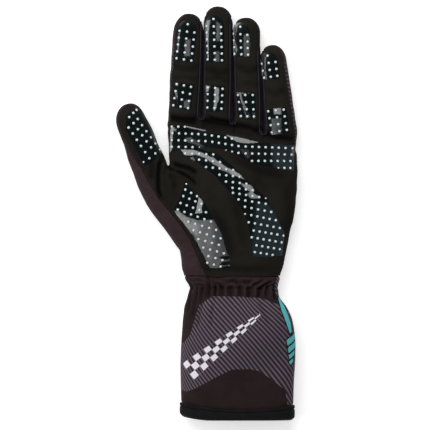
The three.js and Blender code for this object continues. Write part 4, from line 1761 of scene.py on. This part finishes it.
RIPPLES = (
    Ripple(((184.6, 40), (191.2, 39), (190.8, 58), (183.8, 57.4)), Lean.LEFT_EDGE, 0.9),
    Ripple(((178.4, 33), (180.6, 33), (178.8, 52), (177.0, 52)), Lean.LEFT_DIM, 0.5),
    Ripple(((205.2, 21.5), (211.2, 19), (209.5, 30), (208.6, 42), (205.2, 42)), Lean.LEFT_EDGE, 0.6),
    Ripple(((207.4, 41), (208.6, 41), (209.0, 60), (207.6, 60)), Lean.LEFT_EDGE, 0.3),
    Ripple(((215.4, 20.6), (221.0, 24), (220.8, 43), (215.8, 42)), Lean.LEFT_EDGE, 0.8),
    Ripple(((214.6, 51.5), (220.0, 51.5), (220.0, 63.2), (214.6, 63.2)), Lean.LEFT_EDGE, 0.8),
    Ripple(((242.8, 35), (250.2, 34), (250.4, 58), (243.4, 58.4)), Lean.LEFT_EDGE, 0.7),
    Ripple(
        ((236.2, 28), (238.0, 27), (235.0, 40), (238.0, 50), (236.6, 54), (233.6, 42)),
        Lean.LEFT_DIM,
        0.35,
    ),
    Ripple(
        ((264.4, 56), (267.0, 58), (265.8, 68), (267.4, 80), (264.6, 80.4), (264, 66)),
        Lean.LEFT_DIM,
        0.5,
    ),
    Ripple(((183.8, 99.6), (190.8, 99), (189.8, 111), (182.6, 108.4)), Lean.LEFT_EDGE, 0.9),
    Ripple(((175.2, 83.4), (179.4, 83.4), (178.6, 86.6), (175, 86.4)), Lean.LEFT_EDGE, 0.7),
    Ripple(((174.4, 92), (177.6, 91), (178.2, 97), (177.4, 104), (176.4, 98)), Lean.LEFT_DIM, 0.3),
    Ripple(((206.2, 86), (211, 85.6), (209.0, 92), (206.2, 92.4)), Lean.LEFT_EDGE, 0.8),
    Ripple(((214.4, 87), (219.6, 87.4), (219.4, 99), (215.4, 112), (213.2, 111)), Lean.LEFT, 0.7),
    Ripple(((238.8, 93.4), (240.9, 93), (247.6, 118.6), (245.6, 119)), Lean.LEFT_EDGE, 0.3),
    Ripple(((236.8, 92.6), (252.6, 93.4), (252.4, 94.2), (237, 93.8)), Lean.LEFT_EDGE, 0.25),
    Ripple(((242.6, 102), (244.2, 102), (250.8, 119), (249.4, 119.4)), Lean.LEFT_EDGE, 0.3),
    Ripple(((251.4, 112), (255, 112.4), (255.6, 118.6), (252.4, 120)), Lean.LEFT_EDGE, 0.5),
    Ripple(((272.2, 107.4), (281.6, 106.6), (281.8, 115), (273, 115.4)), Lean.LEFT, 0.8),
    Ripple(((270.8, 118.4), (281.8, 117.8), (281.4, 127), (282.4, 135.6), (271, 136)), Lean.LEFT_EDGE, 0.7),
    Ripple(((171, 127), (175.4, 126.6), (172.8, 136), (172.2, 150), (170.2, 152)), Lean.LEFT_EDGE, 0.5),
    Ripple(((174.2, 128), (177.2, 128.8), (176.4, 132), (174.4, 131.6)), Lean.LEFT_DIM, 0.4),
    Ripple(
        (
            (184.6, 138.2), (191, 137.0), (200, 143.4), (213.6, 152.6),
            (206, 151.2), (192, 144.0), (182.6, 141.4),
        ),
        Lean.LEFT_DIM,
        0.5,
    ),
    Ripple(((239, 148.8), (248.6, 150), (250, 157), (247.4, 160.6), (243, 155)), Lean.LEFT_DIM, 0.6),
    Ripple(
        (
            (180.6, 149.4), (194, 149.8), (204, 153.0), (203, 156.4),
            (195, 155.8), (187, 156.2), (183.4, 154.8),
        ),
        Lean.LEFT,
        0.5,
    ),
    Ripple(
        (
            (198, 151.8), (213, 157.2), (226.6, 166.8), (239.4, 173.4), (245.6, 180),
            (236, 177.8), (220, 170), (208, 161), (196, 154.4),
        ),
        Lean.LEFT,
        0.6,
    ),
    Ripple(
        ((188.4, 157.6), (193.4, 157.0), (195.2, 158.8), (195.6, 162.2), (191.4, 160.4)),
        Lean.LEFT_EDGE,
        0.3,
    ),
    Ripple(((224, 173.6), (237, 177), (246.4, 181.8), (234, 178.6)), Lean.FLAT, 0.25),
    Ripple(
        ((240.4, 183.0), (250.6, 184.8), (255, 190.6), (252, 193.6), (246.4, 190.4), (242.4, 186.8)),
        Lean.LEFT,
        0.4,
    ),
    Ripple(((246.4, 192.4), (251, 192), (259.4, 196.2), (257, 199.4), (249, 198.6)), Lean.LEFT, 0.4),
    Ripple(
        ((198.7, 197.4), (201.6, 199), (203.8, 203), (202.2, 207), (202.6, 213.2), (195.0, 213.8)),
        Lean.LEFT,
        0.4,
    ),
    Ripple(
        (
            (173.2, 210.4), (178, 209.8), (188, 216.8), (198, 219.8), (215, 219), (224, 232), (231, 250),
            (237, 259), (237, 270), (210, 270), (202, 253.7), (195, 239.8), (184, 224.6),
        ),
        Lean.LEFT_EDGE,
        0.6,
    ),
    Ripple(
        ((172, 212), (180, 212), (190, 219), (197, 226), (196, 234), (186, 230), (178, 222)),
        Lean.LEFT,
        3.5,
    ),
    Ripple(((219, 256.8), (232, 256), (232, 258.4), (224, 259.6)), Lean.FLAT, 0.25),
    Ripple(((221.4, 262.6), (232, 261.0), (232, 263.8), (219, 265.2)), Lean.FLAT, 0.25),
    Ripple(((218.6, 266.6), (232, 265.8), (232, 268.8), (222, 268.4)), Lean.FLAT, 0.25),
    Ripple(
        ((186, 126.0), (196, 127.8), (206, 130.2), (206, 131.8), (196, 129.8), (186, 127.6)),
        Lean.HIGH,
        0.25,
    ),
    Ripple(
        ((226, 135.4), (240, 138.2), (252, 141.0), (262, 142.8), (247, 143.6), (236, 142.2)),
        Lean.HIGH,
        0.35,
    ),
)

# Where a grey reflection is painted into the film's colour

PAINTED_SHEENS = (
    ((256, 202), (267, 203), (277, 214), (286, 234), (284, 258), (266, 259), (250, 258), (253, 236)),
    ((271, 143), (296, 143), (296, 174), (274, 172)),
)


@dataclass
class Grips:
    """The silicone prints with their dots."""

    skin: Skin
    finishes: Finishes

    def build(self, shift: Vector) -> None:
        """Makes every print."""
        whole = self.skin.whole
        upper, _ = whole.part(whole.centres(whole.points[:, 2]) > 8.8)
        for made in PRINTS:
            outline = spots(made.outline)
            near, _ = upper.part(upper.centres(signed_distance(upper.points[:, :2], outline)) > -3)
            fine = refined(near)
            inside = lambda points: np.minimum(
                signed_distance(points[:, :2], outline), points[:, 2] - PRINT_FLOOR
            )
            cut = cut_surface(fine, inside)
            normals = cut.normals()
            values = inside(cut.points)
            chosen = cut.centres(values) > 0
            sheet, used = cut.part(chosen)
            rim = values[used]
            film = sheet.thick(np.full(len(rim), 0.3), np.full(len(rim), 0.05), normals[used])
            tilt = self.tilt(sheet.points, normals[used])
            beads = self.beads(made)
            # The film's colour carries a painted grey reflection from the sheen attribute
            Piece(
                made.node,
                Slot.SILICONE,
                [(film, self.finishes.film), *beads],
                floats={"haze": self.haze(sheet.points)},
                vectors={"film_tilt": np.vstack([tilt, np.zeros_like(tilt)])},
            ).build(shift)

    def tilt(self, points: np.ndarray, normals: np.ndarray) -> np.ndarray:
        """Returns what is added to the film's outward directions to make the ripples."""
        total = 0.6 * (np.array(Lean.FLAT.value) - normals)
        for ripple in RIPPLES:
            edge = signed_distance(points[:, :2], spots(ripple.outline))
            edge += (0.25 + 0.1 * ripple.feather) * waves(points, 2.6, 7)
            share = smooth(0.5 + edge / (2 * ripple.feather))[:, None]
            total = total * (1 - share) + share * (np.array(ripple.lean.value) - 0.9 * normals)
        return total

    @staticmethod
    def haze(points: np.ndarray) -> np.ndarray:
        """Returns how much painted grey reflection the film gets, from 0 to 1."""
        edges = [signed_distance(points[:, :2], spots(area)) for area in PAINTED_SHEENS]
        return np.max([smooth(0.5 + edge / 5) for edge in edges], axis=0)

    def beads(self, made: Print) -> list[tuple[Surface, bpy.types.Material]]:
        """Makes a print's dots."""
        domes = []
        places = np.array([spot(*pixel) for dots in made.dots for pixel in dots.places()])
        rims = signed_distance(places, spots(made.outline))
        for place, rim in zip(places, rims):
            found = self.skin.land(*place)
            if found:
                radius = 0.96 * min(max(0.45 + rim / 2, 0.5), 1.0)
                domes.append(dome(found[0] + 0.5 * found[1], found[1], radius, 0.46 * radius))
        return [(joined(domes), self.finishes.bead)]


CUFF_PRINT = (
    (199, 304.5),
    (208.2, 298.8),
    (213.6, 295.8),
    (236, 296.2),
    (260.9, 297.9),
    (275.2, 303.2),
    (279.4, 304.8),
    (278.4, 299.6),
    (276.2, 292),
    (276, 277.4),
    (330, 270),
    (380, 300),
    (380, 420),
    (287.5, 404),
    (285, 390.2),
    (271.6, 378.6),
    (259.1, 370.4),
    (249.3, 368.3),
    (231.4, 368.8),
    (213.6, 377.7),
    (193.9, 388.4),
    (186.8, 391),
    (170, 388),
    (120, 380),
    (120, 344),
    (182.3, 342.4),
    (190.4, 334),
    (195.7, 316),
)

# The cuff's folds above and below the elastic, on the palm side; those below 0 stand out

GATHERS = (
    Crease(((190.4, 279), (190.6, 288), (190.2, 296), (187.4, 314)), 1.6, 1.2),
    Crease(((197.0, 286), (196.6, 294), (193.8, 306), (191.5, 320)), 1.2, 1.3),
    Crease(((202.2, 286), (201.6, 292), (199.4, 302)), 1.2, 1.1),
    Crease(((206.6, 274), (209.4, 281), (209.0, 289), (208.6, 299)), 1.5, 1.2),
    Crease(((213.2, 279), (215.6, 285), (215.2, 291), (214.6, 300)), 1.4, 1.0),
    Crease(((221.6, 284), (222.2, 290), (222.6, 298)), 1.2, 1.4),
    Crease(((230.6, 285), (231.0, 290), (231.6, 299)), 1.2, 2.0),
    Crease(((239.8, 284), (240.6, 290), (241.2, 298)), 1.3, 1.5),
    Crease(((249.4, 285), (249.8, 290), (249.6, 299)), 1.2, 2.0),
    Crease(((260.4, 285), (259.8, 291), (258.6, 298)), 1.2, 1.6),
    Crease(((268.8, 283), (266.8, 289), (265.4, 298)), 1.2, 1.3),
    Crease(((274.8, 281), (274.0, 290), (275.0, 302)), 1.2, 1.2),
    Crease(((194.2, 287), (193.6, 293), (191.6, 304)), -0.7, 0.8, 0.0),
    Crease(((199.8, 287), (199.4, 293), (197.4, 303)), -0.7, 0.7, 0.0),
    Crease(((205.4, 286), (205.6, 292), (204.6, 300)), -0.9, 0.7, 0.0),
    Crease(((217.8, 286), (218.6, 291), (218.6, 298)), -1.0, 0.7, 0.0),
    Crease(((226.0, 286), (226.6, 291), (226.8, 298)), -1.0, 0.7, 0.0),
    Crease(((235.4, 284), (236.0, 290), (236.6, 298)), -1.0, 0.8, 0.0),
    Crease(((244.6, 286), (244.8, 291), (245.0, 298)), -1.0, 0.7, 0.0),
    Crease(((254.2, 286), (254.8, 291), (255.0, 298)), -1.0, 0.7, 0.0),
    Crease(((210.4, 276), (213.6, 282), (214.6, 288)), -0.9, 0.8, 0.0),
    Crease(((216.4, 280.6), (219.6, 284.6), (222.2, 288.4)), 1.5, 0.8),
    Crease(((222.0, 278), (225.8, 281.4), (230, 283.6)), 0.9, 1.0),
    Crease(((228.4, 281.2), (234.4, 281.8), (239.2, 284.6)), 1.5, 1.2),
    Crease(((242.0, 280.8), (247.2, 282.8), (252.4, 281.2)), 1.6, 1.3),
    Crease(((251.4, 286), (257.0, 283.4), (263.4, 279.4)), 1.3, 0.9),
    Crease(((255.4, 289.6), (259.6, 284.2), (266.8, 279.6)), -1.0, 0.8, 0.0),
    Crease(((259.4, 289.6), (263.6, 284.8), (274, 280.4)), 1.6, 0.9),
    Crease(((266.2, 288.8), (270.4, 285.2), (276, 283.6)), 1.1, 0.8),
    Crease(((192, 281.6), (198, 281.0), (204, 282.4)), 0.9, 0.9),
    Crease(((193, 285.4), (199, 284.8), (205, 286.2)), 0.7, 0.8),
    Crease(((203.6, 296), (199.0, 310), (196.6, 330)), 0.8, 1.8),
    Crease(((214, 300), (211.4, 312), (211, 330)), 0.6, 1.3),
    Crease(((258, 298), (263, 310), (270, 326)), 0.5, 2.0),
)

ACCENTS = (
    (
        (278.8, 296.8), (281.2, 298), (287.6, 310.6), (292, 322.6),
        (293, 332), (290.4, 333), (286.6, 323), (281.4, 310),
    ),
    ((286.6, 339.6), (300, 331.6), (300, 337.6), (287.6, 345.2)),
    ((287.8, 347.4), (300, 340), (300, 345.6), (288.8, 352.6)),
    ((288.6, 355), (298, 349.4), (296.6, 354), (289.8, 358.6)),
    ((289.4, 361), (296, 357), (293.4, 362.4), (290.4, 364.4)),
)


@dataclass
class Cuff:
    """The gathered cuff and the hem band round its mouth."""

    finishes: Finishes
    sides: int = 400
    wall: float = 1.1
    mouth: float = -CUFF_LENGTH - 2.4

    def build(self, shift: Vector) -> None:
        """Makes the cuff and the hem band."""
        under_hem = self.mouth - 3.2
        levels = [*np.linspace(1.4, -32, 56), *np.linspace(-32, under_hem, 44)[1:]]
        sleeve = lofted([self.ring(level) for level in levels], closed=False)
        normals = sleeve.normals()
        count = len(sleeve.points)
        body = sleeve.thick(np.zeros(count), np.full(count, -self.wall), normals)
        # Painted shade in the gathers, painted highlight on their ridges and on the roll under the seam
        hollow = np.concatenate([self.painted_shading_at(level) for level in levels])
        arc, edges, flash = self.artwork(sleeve.points, levels)
        printed = {name: np.concatenate([edge, edge - UNPRINTED]) for name, edge in edges.items()}
        Piece(
            "cuff",
            Slot.CUFF,
            [(body, self.finishes.cuff), *self.elastic_thread()],
            floats={"hollow": hollow, "arc": np.concatenate([arc, arc]), **printed},
            vectors={"flash": np.vstack([flash, np.full_like(flash, -9)])},
        ).build(shift)
        self.hem(shift)

    def edges(self, level: float) -> tuple[float, float, float]:
        """Returns the cuff's left and right edge and its height at a level."""
        down = min(max(-level / CUFF_LENGTH, 0.0), 1.0)
        _, pinch_left, pinch_right, flare_left, flare_right, rise = read_rows(CUFF_ROWS, down)
        left = WRIST_HALF - ELASTIC_PINCH * pinch_left + (CUFF_REACH_LEFT - WRIST_HALF) * flare_left
        right = WRIST_HALF - ELASTIC_PINCH * pinch_right + (CUFF_REACH_RIGHT - WRIST_HALF) * flare_right
        return -left, right, mix(WRIST_DEPTH, CUFF_DEPTH, rise)

    def ring(self, level: float, proud: float = 0.0, plain: bool = False) -> np.ndarray:
        """One ring round the cuff.

        Args:
            level: its height in millimetres, 0 at the wrist seam.
            proud: how far it stands out of the cuff.
            plain: True leaves out the gathers.

        Returns:
            The ring's points.
        """
        left, right, top = self.edges(level)
        edges = (left - proud, right + proud, top + proud, 0.0)
        across, height, _ = soft_ring(self.sides, *edges, CUFF_SQUARENESS).T
        middle = (left + right) / 2
        if not plain:
            out = np.stack([(across - middle) / (right - left), (height - top / 2) / top], 1)
            out /= np.linalg.norm(out, axis=1)[:, None]
            pull = self.gathers(across, height, level)
            across, height = across + pull * out[:, 0], np.maximum(height + pull * out[:, 1], 0.0)
        sway = seam_sway(across, height) * bell(level, 0.0, 7)
        return np.stack([across, level + self.droop(across, level) + sway, height], 1)

    def droop(self, across: np.ndarray, level: float) -> np.ndarray:
        """Returns how much higher the cloth runs: at the mouth its front sags and its left end rises."""
        side = (across - 9) / 44
        rim = 4.4 * side**2 - 1.7
        foot = 3.2 * np.clip((-side - 0.6) / 0.5, 0, 1.2) ** 1.5 - 0.6
        near = eased((level + 55) / (self.mouth + 55))
        return near * mix(rim, foot, eased((self.mouth - level) / 9))

    @staticmethod
    def gathers(across: np.ndarray, height: np.ndarray, level: float) -> np.ndarray:
        """Returns how far a ring stands out, below 0 where the elastic's gathers pull it in."""
        steps = np.hypot(np.diff(across, append=across[:1]), np.diff(height, append=height[:1]))
        turn = 2 * math.pi * np.concatenate([[0], np.cumsum(steps)[:-1]]) / steps.sum()
        wander = 0.8 * np.sin(3 * turn + 1.1) + 0.6 * np.sin(7 * turn + 2.0)
        wander += 0.4 * np.sin(level / 5.5 + 5 * turn)
        slant = level * (0.16 * np.sin(2 * turn + 0.5) + 0.1 * np.sin(5 * turn))
        above = 0.5 - 0.5 * np.cos(13 * turn + 1.4 * wander + 2.2 * slant)
        short = 0.5 - 0.5 * np.cos(25 * turn + 1.6 * wander + slant)
        upper = bell(level, ELASTIC_LEVEL + 3, 4.2)
        lower = bell(level, ELASTIC_LEVEL - 3.4, 4.4)
        unseen = 0.9 * upper * above**2 + 1.5 * lower * short**1.4
        front = smooth((height - 9) / 4)
        places = np.stack([across, np.full_like(across, level)], 1)
        seen = np.sum([fold.pressed(places) for fold in GATHERS], axis=0)
        folds = mix(unseen, seen, front)
        line = 0.9 * bell(level, ELASTIC_LEVEL, 1.1) * (0.7 + 0.3 * np.cos(46 * turn + wander))
        under = 0.7 * eased((CUFF_LENGTH + 0.9 + level) / -1.2)
        roll = 0.7 * bell(level, -3.2, 2.2) - 1.9 * eased((level + 1.4) / 2.6)
        sag = 0.35 * np.sin(2 * turn + level / 17) * bell(level, -60, 26)
        return sag + roll - folds - line - under

    def painted_shading_at(self, level: float) -> np.ndarray:
        """Returns a ring's painted shade in the gathers and painted highlight, below 0, on ridges and the
        roll.
        """
        left, right, top = self.edges(level)
        across, height, _ = soft_ring(self.sides, left, right, top, 0.0, CUFF_SQUARENESS).T
        # Painted highlight on the roll just under the seam
        bright = 0.45 * bell(level, -4.4, 3.2)
        # Painted highlight on the gathers' ridges
        ridge_highlight = -0.4 * bell(level, -13, 8)
        return np.clip(-self.gathers(across, height, level) / 1.9, ridge_highlight, 0.66) - bright

    def unfolded(self, level: float) -> np.ndarray:
        """Returns the places across one ring, its sides and back folded flat beside the front."""
        left, right, top = self.edges(level)
        across, height, _ = soft_ring(self.sides, left, right, top, 0.0, CUFF_SQUARENESS).T
        steps = np.hypot(np.diff(across, append=across[:1]), np.diff(height, append=height[:1]))
        crown = self.sides // 4
        way = np.cumsum(np.roll(steps, -crown))
        way = np.roll(np.concatenate([[0], way[:-1]]), crown)
        girth = steps.sum()
        middle, half = (left + right) / 2, (right - left) / 2
        place = np.where(way < girth / 2, -way, girth - way)
        flat = across.copy()
        fold = 0.84 * half
        for side in (-1, 1):
            start = np.interp(fold, *self.rising(side, across - middle, place))
            beyond = side * place > start
            flat[beyond] = middle + side * (fold - start) + place[beyond]
        return flat

    @staticmethod
    def rising(side: int, across: np.ndarray, place: np.ndarray) -> tuple[np.ndarray, np.ndarray]:
        """Returns places on one side, out from the front's middle, and the way along the cloth to them."""
        front = (side * place >= 0) & (side * place < 1.35 * np.abs(across).max())
        order = np.argsort(side * place[front])
        reach = np.maximum.accumulate((side * across[front])[order])
        return reach + 1e-6 * np.arange(len(reach)), (side * place[front])[order]

    def artwork(
        self, points: np.ndarray, levels: Sequence[float]
    ) -> tuple[np.ndarray, dict[str, np.ndarray], np.ndarray]:
        """Works out the print's fields.

        Args:
            points: the outside's points.
            levels: the height of each ring.

        Returns:
            Each point's place across the fine stripes, how far it lies inside the striped area and inside the
            bars, and its place in the flash.
        """
        flat = np.stack([np.concatenate([self.unfolded(level) for level in levels]), points[:, 1]], 1)
        right = flat[:, 0] / PIXEL + SEAM_PIXEL[0]
        rise = flat[:, 1] / PIXEL + 337 - SEAM_PIXEL[1]
        bent = right - 0.0105 * np.clip(215 - right, 0, 60) ** 2
        fan = 0.0031 * np.clip(rise, 0, 60) ** 2 + 0.0014 * np.clip(rise, -60, 0) ** 2
        arc = 0.743 * bent + 0.669 * rise + fan * smooth((right - 238) / 20)
        accent = np.max([signed_distance(flat, spots(outline)) for outline in ACCENTS], axis=0)
        start, end = np.array(spot(188, 371)), np.array(spot(260, 314))
        along = (end - start) / np.linalg.norm(end - start)
        u = (flat - start) @ along
        v = (flat - start) @ np.array([-along[1], along[0]])
        length = np.linalg.norm(end - start)
        half = 0.9 + 6.6 * np.clip(1 - u / length, 0, 1) ** 0.8
        inside = np.minimum(np.minimum(u, length - u), half - np.abs(v))
        flash = np.stack([u / 4.9, 1.5 * (v / half + 1), inside], 1)
        return arc, {"print": signed_distance(flat, spots(CUFF_PRINT)), "accent": accent}, flash

    def elastic_thread(self) -> list[tuple[Surface, bpy.types.Material]]:
        """Makes the stitches just below the wrist seam."""
        made = []
        ring = self.ring(-2.2)
        steps = np.hypot(*np.diff(ring[:, [0, 2]], axis=0).T)
        marks = np.concatenate([[0], np.cumsum(steps)])
        for mark in np.arange(1.0, marks[-1] - 1, 2.8):
            rows = [np.interp((mark, mark + 0.8), marks, ring[:, axis]) for axis in range(3)]
            here, ahead = np.array(rows).T
            if here[2] > 5:
                made.append(stitch(here, (ahead - here) / np.linalg.norm(ahead - here), 1.8, 0.16))
        return [(joined(made), self.finishes.thread)]

    def hem(self, shift: Vector) -> None:
        """Makes the hem band, with the groove that its stitching draws round the middle."""
        bottom = -CUFF_LENGTH - HEM_HEIGHT - 0.2
        shares = np.linspace(0, 1, 30)
        rings = []
        for share in shares:
            level = mix(self.mouth, bottom, share)
            end = min(min(share, 1 - share) / 0.12, 1.0)
            soft = math.sqrt(end * (2 - end))
            groove = 0.6 * bell(share, 0.28, 0.04)
            tuck = 1.9 * eased((share - 0.68) / 0.32) ** 1.5
            rings.append(self.ring(level, HEM_PROUD * (0.1 + 1.3 * soft) - groove - tuck, True))
        band = lofted(rings, closed=False)
        count = len(band.points)
        inner = np.repeat(-0.45 - 1.05 * smooth((shares - 0.4) / 0.15), self.sides)
        body = band.thick(np.zeros(count), inner, band.normals())
        Piece("hem_band", Slot.HEM, [(body, self.finishes.hem)]).build(shift)


# The studio


@dataclass(frozen=True)
class Lamp:
    """A soft lamp above the glove.

    place says where it hangs, in metres. size is its width and height as the glove sees it, and power is in
    watts.
    """

    name: str
    place: tuple[float, float, float]
    size: Point
    power: float

    def build(self, target: Vector) -> None:
        """Makes the lamp, facing the target."""
        data = bpy.data.lights.new(self.name, "AREA")
        data.shape = "RECTANGLE"
        data.size, data.size_y = self.size
        data.energy = self.power
        lamp = bpy.data.objects.new(self.name, data)
        lamp.location = self.place
        lamp.rotation_euler = (target - Vector(self.place)).to_track_quat("-Z", "Y").to_euler()
        bpy.context.scene.collection.objects.link(lamp)


@dataclass(frozen=True)
class Studio:
    """The floor, the lamps and the camera."""

    centre: Point = (0.0062, -0.0019)
    frame_width: float = 0.3231
    lens: float = 400.0
    lamps: tuple[Lamp, ...] = (
        Lamp("tall_left", (-1.55, 0.1, 1.4), (2.2, 0.45), 21.5),
        Lamp("key_high", (-0.3, 1.3, 1.6), (2.4, 1.0), 35.0),
        Lamp("fill_right", (1.5, -0.1, 1.5), (2.2, 0.9), 7.0),
        Lamp("fill_low", (0.1, -1.5, 1.65), (2.4, 0.8), 5.0),
    )

    def build(self) -> None:
        """Makes them all."""
        target = Vector((*self.centre, 0.01))
        for lamp in self.lamps:
            lamp.build(target)
        self.floor()
        self.camera()
        world = bpy.data.worlds.new("studio")
        world.use_nodes = True
        backdrop = next(node for node in world.node_tree.nodes if node.type == "BACKGROUND")
        backdrop.inputs["Color"].default_value = (0.03, 0.032, 0.034, 1.0)
        bpy.context.scene.world = world
        bpy.context.scene.view_settings.view_transform = "Standard"

    def floor(self) -> None:
        """Makes the plain pale floor."""
        mesh = bpy.data.meshes.new("floor")
        half = 3.0
        corners = [(-half, -half, 0), (half, -half, 0), (half, half, 0), (-half, half, 0)]
        mesh.from_pydata(corners, [], [(0, 1, 2, 3)])
        pale = (0.93, 0.93, 0.93)
        finish = Graph("floor").surface(
            Base_Color=pale,
            Roughness=1.0,
            Specular_IOR_Level=0.0,
            Emission_Color=pale,
            Emission_Strength=0.5,
        )
        mesh.materials.append(finish)
        floor = bpy.data.objects.new("floor", mesh)
        floor.location.z = -0.0002
        bpy.context.scene.collection.objects.link(floor)
        floor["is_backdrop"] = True

    def camera(self) -> None:
        """Makes the camera, which looks straight down with the fingers up."""
        data = bpy.data.cameras.new("camera")
        data.lens = self.lens
        data.sensor_width = 36.0
        camera = bpy.data.objects.new("camera", data)
        camera.location = (*self.centre, self.frame_width * self.lens / data.sensor_width)
        bpy.context.scene.collection.objects.link(camera)
        bpy.context.scene.camera = camera


def corners() -> list[list[float]]:
    """Returns the shown object's lowest and highest corner as plain lists."""
    return [list(corner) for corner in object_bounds()]


def main() -> None:
    """Builds the glove's looks and the studio round it."""
    logging.basicConfig(level=logging.INFO, format="%(name)s: %(message)s")
    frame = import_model()
    log.info("frame loaded with %d nodes", len(frame["nodes"]))
    low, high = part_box("back_panel")
    shift = Vector((high.x - PALM_HALF / 1000, low.y, 0.0))
    finishes = Finishes()
    skin = Skin()
    Hand(skin, finishes).build(shift)
    Grips(skin, finishes).build(shift)
    Cuff(finishes).build(shift)
    Studio().build()
    log.info("all pieces built")


if __name__ == "__main__":
    main()
